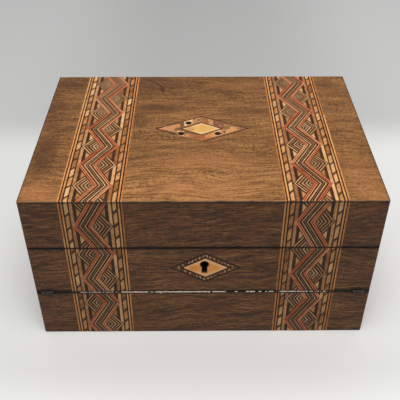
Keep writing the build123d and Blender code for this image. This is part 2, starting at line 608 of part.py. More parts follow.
save("lid_lining", box(-IX, IX, IF, IB, LID_UNDER - LINING_T, LID_UNDER))
letter_z1 = LID_UNDER - LINING_T - LETTER_GAP
letter = box(-IX, IX, LETTER_BOARD_Y, IB, letter_z1 - LETTER_BOARD, letter_z1)
save("letter_board", letter)
save("link_plate", box(selvedge_x0, selvedge_x1, link_y0, link_y1, TIER + SEAM, TIER + SEAM + link_t)
     + Compound(children=[box(LOCK_X + s * STAPLE_X - STAPLE_T / 2, LOCK_X + s * STAPLE_X + STAPLE_T / 2,
                staple_y0, staple_y1, TIER + SEAM - STAPLE_L, TIER + SEAM + link_t)
                - box(LOCK_X + s * STAPLE_X - STAPLE_T, LOCK_X + s * STAPLE_X + STAPLE_T,
                      staple_mid - STAPLE_EYE / 2, staple_mid + STAPLE_EYE / 2,
                      eye_z - STAPLE_EYE / 2, eye_z + STAPLE_EYE / 2) for s in (-1, 1)]))
save("back_hinge_lid_leaves", *[h[1] for h in back_hinges])
for k, wood in enumerate(("ground", "light", "red", "olive")):
    save("lid_band_%s" % wood, *lid_woods[k])
print("front axis", AXIS_F, "back axis", AXIS_B, "caps", cap_axes)
print("tray z", tray_z0, tray_z1, "cap axis", cap_axes, "staple", staple_y0, staple_y1, "cavity", cavity_z1)
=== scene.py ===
"""Looks of the writing slope: a walnut box in three tiers with two parquetry bands,
a lozenge on the cover and a keyhole escutcheon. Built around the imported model."""
import math
import random
from functools import reduce

import bpy
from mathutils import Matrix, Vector


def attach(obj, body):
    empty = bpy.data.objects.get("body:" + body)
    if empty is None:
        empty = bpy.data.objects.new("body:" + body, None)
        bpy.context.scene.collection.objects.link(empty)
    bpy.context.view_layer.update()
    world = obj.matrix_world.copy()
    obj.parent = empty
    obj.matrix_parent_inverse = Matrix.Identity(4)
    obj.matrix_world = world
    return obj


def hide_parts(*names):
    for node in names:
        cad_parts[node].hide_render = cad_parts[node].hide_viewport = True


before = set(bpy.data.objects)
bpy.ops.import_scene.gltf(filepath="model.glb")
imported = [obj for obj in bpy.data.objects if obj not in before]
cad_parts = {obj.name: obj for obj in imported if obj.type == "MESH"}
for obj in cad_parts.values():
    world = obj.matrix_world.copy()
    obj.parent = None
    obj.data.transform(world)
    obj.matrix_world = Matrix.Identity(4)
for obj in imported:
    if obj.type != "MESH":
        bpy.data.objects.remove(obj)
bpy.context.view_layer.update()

MM = 0.001

# sizes of the box, as in the part (millimetres)
WIDTH, DEPTH = 305.0, 216.0
BASE_FRONT, RISE, TIER, TOTAL = 54.5, 54.5, 109.0, 161.0
SEAM, EASE, INLAY = 0.4, 0.6, 0.8
SIDE, FRONT, BACK = WIDTH / 2, -DEPTH / 2, DEPTH / 2
BAND_X, BAND_W = 93.0, 53.6
FRONT_HINGE_X, BACK_HINGE_X = 142, 98
FRONT_SCREW_Y, BACK_SCREW_Y = -103.6, 103.2

# ornaments, each as its centre, half width and half height on its face
LOZENGE_BED = (1.0, 2.4, 44.4, 23.0)  # recess in the cover, as in the part
LOZENGE = (-0.4, 2.4, 44.7, 23.1)
LOZENGE_MIDDLE = (-0.8, 2.2, 17.8, 10.0)
ESCUTCHEON = (1.9, 85.4, 31.5, 18.0)
KEY_FIELD = (2.0, 85.0, 19.4, 11.0)
KEY_X, KEY_Z = 1.0, 89.4  # centre of the keyhole's round part


def slope(y):
    """Height of the writing plane at y."""
    return BASE_FRONT + (y - FRONT) * RISE / DEPTH


# shader sums
class Wire:
    """A socket of a finish that takes part in plain sums."""

    def __init__(self, finish, socket):
        self.finish, self.socket = finish, socket

    def sum(self, operation, *values):
        return self.finish.node("ShaderNodeMath", {"operation": operation}, dict(enumerate(values)))

    def __add__(self, other):
        return self.sum("ADD", self, other)

    def __sub__(self, other):
        return self.sum("SUBTRACT", self, other)

    def __rsub__(self, other):
        return self.sum("SUBTRACT", other, self)

    def __mul__(self, other):
        return self.sum("MULTIPLY", self, other)

    def __truediv__(self, other):
        return self.sum("DIVIDE", self, other)

    def __pow__(self, other):
        return self.sum("POWER", self, other)

    def __abs__(self):
        return self.sum("ABSOLUTE", self)

    def most(self, other):
        return self.sum("MAXIMUM", self, other)

    def between(self, low, high):
        """Rises smoothly from 0 at low to 1 at high."""
        return self.finish.node("ShaderNodeMapRange", {"interpolation_type": "SMOOTHSTEP"},
                                {0: self, 1: low, 2: high, 3: 0.0, 4: 1.0})

    def fades(self, low, high):
        """Falls smoothly from 1 at low to 0 at high."""
        return 1.0 - self.between(low, high)

    __radd__ = __add__
    __rmul__ = __mul__


def tint(r, g, b):
    """A colour given as on a screen, 0 to 255, in linear light."""
    def linear(c):
        c /= 255
        return c / 12.92 if c <= 0.04045 else ((c + 0.055) / 1.055) ** 2.4
    return (linear(r), linear(g), linear(b), 1.0)


class Finish:
    """A material and the calls that build its nodes."""

    def __init__(self, name, **constants):
        self.material = bpy.data.materials.new(name)
        self.material.use_nodes = True
        self.tree = self.material.node_tree
        self.shader = self.tree.nodes["Principled BSDF"]
        for socket, value in constants.items():
            self.feed(socket.replace("_", " "), value)

    def plug(self, socket, value):
        """Join a wire to a socket, or set the socket to a plain value."""
        if isinstance(value, Wire):
            self.tree.links.new(value.socket, socket)
        else:
            socket.default_value = value

    def node(self, kind, settings=None, sockets=None, out=0):
        made = self.tree.nodes.new(kind)
        for key, value in (settings or {}).items():
            if key == "stops":
                ramp = made.color_ramp
                while len(ramp.elements) < len(value):
                    ramp.elements.new(0.5)
                for element, (position, colour) in zip(ramp.elements, value):
                    element.position, element.color = position, colour
            else:
                setattr(made, key, value)
        for key, value in (sockets or {}).items():
            self.plug(made.inputs[key], value)
        return Wire(self, made.outputs[out])

    def feed(self, socket, value):
        self.plug(self.shader.inputs[socket], value)

    def place(self):
        """Where a point is on the closed box, in millimetres."""
        at = self.node("ShaderNodeTexCoord", out="Object")
        return [self.node("ShaderNodeSeparateXYZ", None, {0: at}, k) * 1000.0 for k in range(3)]

    def noise(self, x, y, z, detail, rough=0.5):
        """Clouds from 0 to 1, about one to each step of 1 in x, y and z."""
        where = self.node("ShaderNodeCombineXYZ", None, {0: x, 1: y, 2: z})
        return self.node("ShaderNodeTexNoise", None,
                         {"Vector": where, "Scale": 1.0, "Detail": detail, "Roughness": rough})

    def mix(self, share, a, b):
        return self.node("ShaderNodeMix", {"data_type": "RGBA"}, {0: share, 6: a, 7: b}, 2)

    def ramp(self, value, *stops):
        """Each stop is a position and a colour as on a screen."""
        stops = [(position, tint(*colour)) for position, colour in stops]
        return self.node("ShaderNodeValToRGB", {"stops": stops}, {0: value})

    def tile_tone(self):
        """A number from 0 to 1 that differs from one loose piece of the mesh to the next."""
        return self.node("ShaderNodeNewGeometry", out="Random Per Island")

    def done(self, colour, rough, height, depth, strength):
        """Feed colour, roughness and a relief of depth millimetres, and give the material."""
        self.feed("Base Color", colour)
        self.feed("Roughness", rough)
        self.feed("Normal", self.node("ShaderNodeBump", None,
                                      {"Strength": strength, "Distance": depth * MM, "Height": height}))
        return self.material


# finishes
def spot(x, y, cx, cy, rx, ry):
    """A soft round patch, 1 at its centre and 0 outside its radii."""
    far = ((x - cx) / rx) ** 2.0 + ((y - cy) / ry) ** 2.0
    return far.fades(0.0, 1.0)


def strongest(x, y, patches):
    """Soft patches laid over each other, each with its own strength: the strongest counts."""
    return reduce(Wire.most, [spot(x, y, cx, cy, rx, ry) * much for cx, cy, rx, ry, much in patches])


def past(coordinate, limit):
    """1 beyond the limit and 0 short of it."""
    return coordinate.between(limit, limit + 0.06)


def near_joints(z, slant):
    """Distances from the upper joint and from the slanted lower one."""
    return abs(z - TIER - SEAM / 2), abs(slant - SEAM / 2)


def wood_figure(f, along, cross, seed=0.0):
    """Broad figure, streaks, fine lines and dark flecks of walnut, each from 0 to 1."""
    sway = f.noise(along / 85 + seed, cross / 60, seed, 1.5) - 0.5
    bent = cross + sway * 30.0
    broad = f.noise(along / 55 + seed, bent / 13, 3.1 + seed, 3.0, 0.55)
    streak = f.noise(along / 24, bent / 1.8, 7.7 + seed, 2.0, 0.6)
    fine = f.noise(along / 2.4, bent / 1.3, 1.3 + seed, 2.0, 0.6)
    flecks = f.noise(along / 4.5, bent / 1.3, 5.9 + seed, 2.0, 0.6).between(0.58, 0.70)
    return broad, streak, fine, flecks


SHADOWS = [  # darker patches of the cover, painted shade together with dusky veneer: centre, half width and depth, strength
    (-50, 92, 38, 22, 0.6), (-42, 44, 34, 15, 0.95), (-59, 22, 12, 24, 0.6), (46, 38, 34, 9, 0.6),
    (-138, -38, 13, 46, 0.9), (-134, 92, 24, 18, 0.75), (-142, 32, 14, 44, 0.5), (131, 92, 15, 12, 0.7),
    (132, 46, 13, 20, 0.4), (-1, 92, 6, 22, 0.25), (30, -58, 34, 5, 0.25)]
LIGHTS = [  # patches of painted sheen, where the figure shines
    (-44, 52, 30, 3.4, 0.5), (-50, 36, 20, 3.0, 0.3), (0, -50, 64, 15, 0.5), (-4, -92, 66, 20, 0.45),
    (-138, -96, 17, 22, 0.7), (16, 24, 40, 4, 0.3), (40, 88, 44, 14, 0.3), (136, -70, 18, 44, 0.35)]


ARC_X, ARC_Y, ARC_RADIUS = -72.3, 71.5, 32.6  # a scratch on the cover that bends round this centre
LINE_X = 46.5  # a short straight scratch


def cover_marks(x, y):
    """Dark marks on the cover: a bent scratch, a smear, a straight scratch and a dot."""
    bow = ((x - ARC_X) ** 2.0 + (y - ARC_Y) ** 2.0) ** 0.5 - ARC_RADIUS
    bent = abs(bow).fades(0.5, 1.5) * x.between(-68.0, -65.0) * y.between(68.0, 73.0) * 0.9
    line = abs(x - LINE_X).fades(0.2, 0.6) * y.between(-38.0, -36.0) * y.fades(-26.0, -24.0)
    smear = spot(x, y, -40.8, 80.0, 2.6, 9.0) * 0.9
    return bent.most(smear).most(line).most(spot(x, y, -58.6, -1.8, 1.6, 1.6))


def cover_colour(f, x, y, along, cross, value, streak, fine):
    """The cover's top: warm, with painted sheen toward the lock side and painted shade at the left and back.
    """
    painted_sheen_front = spot(x, y, 10.0, -112.0, 240.0, 72.0)
    painted_shade_left = spot(x, y, -156.0, 10.0, 60.0, 120.0)
    painted_shade_back = spot(x, y, -40.0, 112.0, 210.0, 75.0)
    # painted sheen lightens the cover's front; painted shade darkens its left and back
    value = value + painted_sheen_front * 0.19 - painted_shade_left * 0.14 - painted_shade_back * 0.14
    value = value + (streak - 0.5) * (painted_sheen_front * 0.9 - 0.3) + (fine - 0.5) * 0.45
    colour = f.ramp(value, (0.0, (84, 53, 32)), (0.28, (118, 79, 46)), (0.5, (146, 100, 57)),
                    (0.72, (168, 117, 68)), (1.0, (194, 140, 86)))
    purple = f.noise(along / 40, cross / 16, 11.0, 2.0).between(0.5, 0.7) * 0.3
    # painted shade together with dusky veneer: the SHADOWS patches darken the cover toward purple brown
    purple = purple.most(strongest(x + streak * 4.0, y + streak * 5.0, SHADOWS))
    colour = f.mix(purple * 0.62, colour, tint(82, 51, 37))
    # painted sheen: the LIGHTS patches lighten the cover toward a warm highlight
    colour = f.mix(strongest(x, y + streak * 3.0, LIGHTS) * 0.5, colour, tint(214, 138, 88))
    return f.mix(cover_marks(x, y) * 0.75, colour, tint(58, 33, 20))


def wall_colour(f, z, wide, along, cross, value):
    """Lock side, back and ends: darker and quieter than the cover."""
    grain = f.noise(along / 11, cross / 0.95, 21.0, 2.0, 0.6)
    value = value + (grain - 0.5) * 1.5 - z.between(106.0, 112.0) * 0.05
    value = value - z.fades(0.0, 9.0) * 0.08 - wide.between(124.0, 152.0) * 0.04
    colour = f.ramp(value, (0.0, (42, 27, 16)), (0.3, (71, 47, 28)), (0.5, (93, 62, 37)),
                    (0.7, (115, 78, 47)), (1.0, (148, 103, 66)))
    ruddy = f.noise(along / 26, cross / 9, 17.0, 3.0, 0.6).between(0.45, 0.65)
    return f.mix(ruddy * 0.30, colour, tint(112, 64, 44))


def joint_grime_and_shade(f, colour, y, z, top, side, patchy):
    """Dirt and painted shade along the two joints: a soft patchy margin and a hard painted dark line; gives
    the margin too.
    """
    slant = z - (y * (RISE / DEPTH) + (BASE_FRONT - FRONT * RISE / DEPTH))
    upper, lower = near_joints(z, slant)
    soft = upper.fades(0.6, 3.6).most(lower.fades(0.8, 4.2)) * patchy.between(0.30, 0.62)
    # painted shade: a dark line in and beside each joint, wider than its gap
    hard = upper.fades(0.8, 1.6).most(abs(slant - 1.1).fades(1.1, 2.0))
    colour = f.mix(soft * (1.0 - top) * 0.6, colour, tint(30, 21, 16))
    return f.mix(hard * (1.0 - top) * (0.95 - side * 0.65), colour, tint(11, 7, 5)), soft


def wear_edges(f, colour, y, z, wide, deep, top, outside, patchy):
    """Scuffed and darkened edges, a worn edge lit by a painted highlight along the cover's front and back,
    a painted shadow under the cover's front edge, a dirty foot in painted shade, stains round the front
    hinges.
    """
    near_x, near_y = wide.between(SIDE - 1.3, SIDE - 0.2), deep.between(BACK - 1.4, BACK - 0.2)
    near_z = z.between(TOTAL - 1.4, TOTAL - 0.2)
    # painted shadow: a dark line just under the cover's front edge
    painted_brow_shadow = abs(z - (TOTAL - 2.0)).fades(0.5, 1.6) * y.fades(FRONT + 0.6, FRONT + 0.7)
    colour = f.mix(painted_brow_shadow * 0.55, colour, tint(26, 18, 14))
    # wear and painted highlight: a patchy light line along the cover's front and back top edges
    colour = f.mix(near_y * near_z * patchy.between(0.3, 0.5) * 0.6, colour, tint(186, 134, 90))
    rim = wide.between(SIDE - 1.9, SIDE - 0.5) * top * (0.35 + patchy)
    colour = f.mix(rim.most(near_x * near_z) * 0.75, colour, tint(50, 33, 25))
    colour = f.mix(near_x * near_y * patchy.between(0.42, 0.6) * 0.55, colour, tint(150, 108, 76))
    # dirt and painted contact shade along the foot
    foot = z.fades(0.4, 2.6) * outside
    colour = f.mix(foot * patchy.between(0.25, 0.5) * 0.75, colour, tint(34, 25, 21))
    stain = spot(wide, z, FRONT_HINGE_X, BASE_FRONT + 0.9, 15.0, 6.2) * deep.between(BACK - 1.0, BACK - 0.1)
    return f.mix(stain * y.fades(0.0, 1.0) * 0.9, colour, tint(20, 14, 11))


def inner_colour(f, x, y, z):
    """Plain wood inside, with painted shade where the key goes through the lock side."""
    lines = f.noise(x / 48, z / 2.0 + y / 2.0, 4.0, 3.0, 0.6)
    colour = f.ramp(lines, (0.3, (112, 70, 44)), (0.5, (140, 92, 58)), (0.75, (160, 110, 72)))
    # painted shade: the walls of the keyhole through the lock side are painted near black
    high = abs(z - (KEY_Z - 3.0)).fades(6.8, 7.0)
    keyhole = abs(x - KEY_X).fades(3.7, 3.9) * high * y.fades(FRONT + 11.6, FRONT + 11.7)
    return f.mix(keyhole, colour, tint(12, 7, 4))


def make_carcase():
    """Walnut veneer outside, plain wood inside: the face is told by where the point is."""
    f = Finish("walnut_carcase", Specular_IOR_Level=0.16, Coat_Roughness=0.4)
    x, y, z = f.place()
    wide, deep = abs(x), abs(y)
    top = z.between(TOTAL - 0.2, TOTAL - 0.1)
    side = past(wide, SIDE - 0.12)
    outside = past(wide, SIDE - 0.7).most(past(deep, BACK - 0.7)).most(past(z, TOTAL - 0.66))
    along = x * (1.0 - side) + (y + 700.0) * side + 310.0 * top
    cross = z * (1.0 - top) + y * top - x * 0.07 * (1.0 - top) * z.between(108.0, 110.0)
    broad, streak, fine, flecks = wood_figure(f, along, cross)
    value = (broad - 0.5) * 0.65 + (streak - 0.5) * 1.45 + (fine - 0.5) + 0.50
    patchy = f.noise(along / 21, cross / 7, 2.0, 3.0)

    colour = f.mix(top, wall_colour(f, z, wide, along, cross, value),
                   cover_colour(f, x, y, along, cross, value, streak, fine))
    colour, grime_and_shade = joint_grime_and_shade(f, colour, y, z, top, side, patchy)
    colour = wear_edges(f, colour, y, z, wide, deep, top, outside, patchy)
    colour = f.mix(flecks * 0.34, colour, tint(56, 34, 20))
    f.feed("Coat Weight", 0.05 - grime_and_shade * 0.04)
    return f.done(f.mix(outside, inner_colour(f, x, y, z), colour),
                  0.46 + (streak - 0.5) * 0.16 + flecks * 0.14 + grime_and_shade * 0.2,
                  fine * 0.5 + streak * 0.35 - flecks * 0.6, 0.06, 0.5)


def make_plain_wood(name, dark, middle, light, along=0):
    """Solid board with straight grain along one axis."""
    f = Finish(name, Specular_IOR_Level=0.4)
    where = f.place()
    run = where.pop(along)
    cross = where[0] + where[1] * 0.8
    broad, streak, fine, pores = wood_figure(f, run, cross, 2.0)
    value = (broad - 0.5) * 0.8 + (streak - 0.5) * 0.8 + (fine - 0.5) * 0.4 + 0.5
    colour = f.ramp(value, (0.15, dark), (0.5, middle), (0.9, light))
    smudge = f.noise(run / 30, cross / 22, 8.0, 3.0).between(0.52, 0.75)
    colour = f.mix(smudge * 0.35, colour, tint(*[c * 0.62 for c in dark]))
    colour = f.mix(pores * 0.35, colour, tint(*[c * 0.5 for c in dark]))
    return f.done(colour, 0.5 + (streak - 0.5) * 0.2, streak * 0.5 + fine * 0.5 - pores * 0.6, 0.05, 0.5)


def make_inlay(name, dark, middle, light, spread, shade=0.8):
    """Tiles of one wood, each in its own tone. Shade is the share of its colour kept off the top face, as
    painted shade; the top stays paler, faded.
    """
    f = Finish(name, Specular_IOR_Level=0.16, Coat_Weight=0.03, Coat_Roughness=0.4)
    x, y, z = f.place()
    tone = f.tile_tone()
    lines = f.noise((x + y) / 5 + tone * 40.0, (x - y + z) / 0.6, tone * 17.0, 2.0, 0.6)
    worn = f.noise(x / 5 + 3.0, y / 5, z / 5, 3.0, 0.6)
    value = (tone - 0.5) * spread + (lines - 0.5) * 0.9 + (worn - 0.5) * 0.9 + 0.5
    colour = f.ramp(value, (0.1, dark), (0.5, middle), (0.9, light))
    on_top = z.between(TOTAL - 0.8, TOTAL - 0.1)
    # painted shade: off the top face the wood is darkened toward near black
    colour = f.mix((1.0 - on_top) * (1.0 - shade), colour, tint(20, 12, 6))
    grime_and_shade = f.noise(x / 7, y / 7, z / 7, 3.0, 0.6).between(0.5, 0.78)
    upper, lower = near_joints(z, z - BASE_FRONT)
    # dirt and painted shade near the joints, patchy
    joint_dirt_and_shade = upper.fades(0.5, 2.6).most(lower.fades(0.6, 2.8)) * grime_and_shade.between(0.0, 0.5)
    # painted shade: dark lines in and beside the joints, and a painted shadow under the cover's front edge
    hard = upper.fades(0.8, 1.5).most(abs(lower - 0.9).fades(0.9, 1.7))
    hard = hard.most(abs(z - (TOTAL - 1.7)).fades(0.3, 1.0))
    colour = f.mix(grime_and_shade * 0.28 + joint_dirt_and_shade * 0.3, colour, tint(70, 42, 24))
    colour = f.mix(hard * 0.8, colour, tint(22, 15, 11))
    return f.done(colour, 0.42 + (lines - 0.5) * 0.2, lines, 0.03, 0.5)


def keyhole_shape(x, z):
    """1 inside the keyhole: a round hole over a slot."""
    hole = ((x - KEY_X) ** 2.0 + (z - KEY_Z) ** 2.0).fades(14.5, 20.5)
    slot = abs(x - KEY_X).fades(2.3, 2.9) * z.between(KEY_Z - 10.8, KEY_Z - 10.0)
    return hole.most(slot * z.fades(KEY_Z - 0.4, KEY_Z + 0.6))


def make_field(name, outline, upright, dark, middle, edge, end):
    """Yellow wood in the middle of a lozenge: paler toward its sides, redder at its left end."""
    f = Finish(name, Specular_IOR_Level=0.2, Coat_Weight=0.05, Coat_Roughness=0.4)
    x, y, z = f.place()
    cx, cy, hw, hh = outline
    u, v = x - cx, (z if upright else y) - cy
    side = abs(u) / hw + abs(v) / hh
    cloud = f.noise(x / 9, v / 5, 2.0, 3.0, 0.55)
    lines = f.noise(x / 5, v / 0.7, 5.0, 2.0, 0.6)
    colour = f.ramp(cloud * 0.7 + lines * 0.4 - 0.05, (0.3, dark), (0.55, middle), (0.8, edge))
    colour = f.mix(side.between(0.55, 0.95) * 0.7, colour, tint(*edge))
    colour = f.mix(spot(u, v, -11.0, -0.6, 6.0, 6.0) * 0.75, colour, tint(*end))
    if upright:
        # painted shade: the keyhole is painted dark on the lock side's field
        colour = f.mix(keyhole_shape(x, z) * 0.92, colour, tint(24, 12, 6))
    return f.done(colour, 0.42 + (lines - 0.5) * 0.2, lines, 0.03, 0.5)


def make_velvet(name, dark, middle, light):
    """Short pile, brushed this way and that, thin where hands rested."""
    f = Finish(name, Specular_IOR_Level=0.15, Sheen_Weight=0.6, Sheen_Roughness=0.45)
    x, y, z = f.place()
    pile = f.noise(x / 0.35, y / 0.35, z / 0.35, 2.0, 0.6)
    brushed = f.noise(x / 34, y / 22, 3.0, 3.0, 0.55)
    worn = f.noise(x / 17, y / 17, 9.0, 4.0, 0.6).between(0.62, 0.8)
    value = brushed * 0.7 + pile * 0.5 - 0.1
    colour = f.ramp(value, (0.2, dark), (0.5, middle), (0.85, light))
    colour = f.mix(worn * 0.4, colour, tint(*[(c + 120) / 2 for c in middle]))
    return f.done(colour, 0.95, pile, 0.25, 0.8)


def make_metal(name, bright, dull, rust, rough=0.38, metal=0.9, patch=6.0):
    """Old metal, bright where it rubs and brown in the hollows."""
    f = Finish(name)
    x, y, z = f.place()
    cloud = f.noise(x / patch, y / patch, z / patch, 4.0, 0.65)
    scratch = f.noise(x / 3.0, y / 0.35, z / 0.35, 2.0, 0.6)
    spots = f.noise(x / 1.6, y / 1.6, z / 1.6, 3.0, 0.6).between(0.56, 0.7)
    colour = f.mix(cloud.between(0.34, 0.66), tint(*bright), tint(*dull))
    f.feed("Metallic", metal - spots * 0.55)
    return f.done(f.mix(spots * 0.7, colour, tint(*rust)),
                  rough + (cloud - 0.5) * 0.3 + spots * 0.3 + (scratch - 0.5) * 0.14,
                  scratch * 0.4 - spots * 0.6, 0.03, 0.6)


def make_glass():
    """Clear glass, a little hazy with age."""
    f = Finish("ink_glass", Transmission_Weight=0.92, IOR=1.5)
    x, y, z = f.place()
    haze = f.noise(x / 5, y / 5, z / 5, 3.0, 0.6)
    colour = f.ramp(haze, (0.3, (214, 226, 220)), (0.7, (236, 243, 240)))
    return f.done(colour, 0.03 + haze.between(0.5, 0.8) * 0.12, haze, 0.08, 0.4)


def make_linen():
    """Cloth hinge that has frayed along the lower joint."""
    f = Finish("frayed_linen", Specular_IOR_Level=0.2)
    x, y, z = f.place()
    weave = f.noise(x / 0.28, y / 0.9, z / 0.25, 2.0, 0.6)
    stain = f.noise(x / 7, y / 7, 1.0, 3.0, 0.6)
    colour = f.ramp(weave * 0.5 + stain * 0.6 - 0.05,
                    (0.2, (196, 168, 138)), (0.45, (238, 220, 196)), (0.75, (252, 244, 230)))
    return f.done(colour, 0.9, weave, 0.12, 0.7)


CARCASE = make_carcase()
INNER = make_plain_wood("inner_wood", (104, 64, 40), (140, 92, 58), (166, 116, 76))
INNER_DEEP = make_plain_wood("inner_wood_end_to_end", (98, 60, 38), (134, 86, 54), (158, 108, 70), along=1)
TRAY_WOOD = make_plain_wood("tray_wood", (78, 46, 30), (112, 68, 42), (142, 92, 58))
FIELD_WOOD = make_field("satinwood_field", LOZENGE_MIDDLE, False,
                        (222, 164, 92), (240, 186, 104), (248, 206, 148), (214, 146, 92))
KEY_FIELD_WOOD = make_field("satinwood_key_field", KEY_FIELD, True,
                            (214, 132, 60), (236, 156, 88), (246, 192, 140), (222, 142, 58))
WOODS = {
    "dark": make_inlay("dark_ground", (62, 38, 20), (86, 54, 30), (112, 74, 42), 0.3, 0.4),
    "black": make_inlay("black_wood", (34, 20, 12), (50, 31, 18), (72, 46, 28), 0.3, 0.42),
    "jet": make_inlay("jet_wood", (20, 11, 7), (31, 18, 10), (48, 30, 18), 0.3, 0.42),
    "umber": make_inlay("umber_wood", (74, 44, 18), (100, 62, 28), (130, 84, 42), 0.3, 0.5),
    "plum": make_inlay("plum_wood", (92, 50, 34), (122, 72, 46), (150, 96, 64), 0.5, 0.58),
    "pale": make_inlay("boxwood", (156, 95, 48), (215, 150, 90), (248, 197, 137), 0.8, 0.63),
    "tan": make_inlay("tan_wood", (138, 85, 50), (187, 128, 81), (222, 166, 113), 0.5, 0.7),
    "amber": make_inlay("yellow_wood", (172, 102, 50), (228, 150, 84), (248, 184, 114), 0.6, 0.64),
    "orange": make_inlay("amber_wood", (170, 100, 50), (210, 136, 76), (232, 162, 102), 0.6, 0.74),
    "red": make_inlay("red_wood", (196, 92, 54), (234, 130, 84), (246, 172, 122), 0.85, 0.72),
    "olive": make_inlay("olive_wood", (102, 69, 37), (140, 98, 57), (170, 126, 77), 0.6, 0.41),
    "ash": make_inlay("ash_wood", (176, 130, 86), (226, 172, 118), (250, 204, 148), 0.6, 0.62),
    "brown": make_inlay("brown_wood", (112, 70, 44), (144, 96, 62), (172, 120, 80), 0.5, 0.66),
    "green": make_inlay("green_wood", (108, 80, 36), (138, 104, 52), (162, 126, 66), 0.4),
    "blush": make_inlay("blush_wood", (182, 114, 70), (208, 142, 92), (232, 168, 116), 0.5),
    "mauve": make_inlay("mauve_wood", (120, 77, 50), (158, 108, 71), (186, 138, 97), 0.5, 0.41),
    "terra": make_inlay("terracotta_wood", (144, 84, 48), (174, 108, 66), (200, 134, 88), 0.5, 0.76),
    "grey": make_inlay("grey_wood", (168, 124, 90), (222, 172, 128), (248, 206, 164), 0.7, 0.64),
}
SLOT_WOODS = {
    "dark_wood": ("dark", "black", "jet", "umber", "plum", "mauve"),
    "light_wood": ("pale", "tan", "amber", "orange", "ash", "blush", "grey"),
    "red_wood": ("red", "terra"),
    "olive_wood": ("olive", "green"),
    "walnut": ("brown",),
    "brass": ("brass",),
}
WOOD_SLOT = {wood: slot for slot, woods in SLOT_WOODS.items() for wood in woods}
FLAP_VELVET = make_velvet("writing_velvet", (52, 12, 26), (84, 22, 40), (116, 40, 60))
LINING_CLOTH = make_velvet("lining_velvet", (74, 16, 22), (108, 28, 34), (138, 48, 52))
BRASS = make_metal("aged_brass", (176, 142, 84), (128, 98, 56), (70, 52, 34))
# front hinges: dark brass with paler patches a millimetre or two across
DULL_BRASS = make_metal("dark_hinge_brass", (26, 21, 17), (66, 58, 48), (20, 16, 13), 0.6, 0.4, 1.6)
STEEL = make_metal("dull_steel", (150, 148, 144), (108, 104, 100), (84, 60, 46))
# painted shade: the lock case, seen through the keyhole, is made near black and barely metallic
LOCK_BRASS = make_metal("lock_brass_in_painted_shade", (20, 15, 11), (13, 10, 7), (8, 6, 5), 0.8, 0.15)
WOODS["brass"] = BRASS
GLASS = make_glass()
LINEN = make_linen()


def dress(finish, *names):
    """Give carried-over nodes a better material."""
    for name in names:
        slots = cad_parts[name].data.materials
        slots.clear()
        slots.append(finish)


def walls(tier, *sides):
    """Names of some walls of a tier."""
    return [tier + "_" + side for side in sides]


dress(CARCASE, *walls("base", "front_wall", "back_wall", "left_wall", "right_wall"),
      *walls("foldout", "front_wall", "left_cheek", "right_cheek"),
      *walls("lid", "top_board", "front_wall", "back_wall", "left_wall", "right_wall"))
dress(INNER, "base_bottom_board", "pen_section_partition", "tray_rests", "foldout_rear_rail", "foldout_leaf",
      "base_flap", "letter_board", "foldout_back_board")
dress(INNER_DEEP, "ink_compartments", "flap_ledges", "foldout_side_rails")
dress(TRAY_WOOD, "pen_tray")
dress(BRASS, "back_hinge_base_leaves", "back_hinge_lid_leaves", "lock_plate", "link_plate",
      "inkwell_left_collar", "inkwell_left_cap", "inkwell_right_collar", "inkwell_right_cap")
dress(DULL_BRASS, "front_hinge_base_leaves", "front_hinge_fold_leaves")
dress(LOCK_BRASS, "lock_case")
dress(STEEL, "hinge_pins", "lock_bolt")
dress(GLASS, "inkwell_left_bottle", "inkwell_right_bottle")
dress(KEY_FIELD_WOOD, "escutcheon_field")


# meshes
def add_object(name, data):
    """An object in the scene that shows a mesh, a lamp or a camera."""
    obj = bpy.data.objects.new(name, data)
    bpy.context.scene.collection.objects.link(obj)
    return obj


def piece(name, body, points, faces, finish, slot, stands_for=(), smooth=False):
    """A mesh object in millimetres that rides on a body."""
    mesh = bpy.data.meshes.new(name)
    mesh.from_pydata([[c * MM for c in p] for p in points], [], faces)
    mesh.validate()
    mesh.polygons.foreach_set("use_smooth", [smooth] * len(mesh.polygons))
    mesh.materials.append(finish)
    mesh.update()
    obj = add_object(name, mesh)
    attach(obj, body)
    if stands_for:
        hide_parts(*stands_for)
    return obj


def top_face(u, v, h):
    return (u, v, TOTAL + h)


def lock_face(u, v, h):
    return (u, FRONT - h, v)


def eased(y_way, v_end):
    """The narrow flat on the cover's front or back top edge; v runs on from the top face."""
    def place(u, v, h):
        down = (v_end - v) * y_way / math.sqrt(2)
        lift = h / math.sqrt(2)
        return (u, v_end - y_way * (down + lift), TOTAL - down + lift)
    return place


def foot_edge(u, v, h):
    """The narrow flat on the base's lower front edge; v runs down from the lock face."""
    down = (EASE - v) / math.sqrt(2)
    lift = (h - 0.17) / math.sqrt(2)
    return (u, FRONT + down - lift, EASE - down - lift)


BED_DEPTH = INLAY - 0.02  # thickness of the ground under a band or an ornament


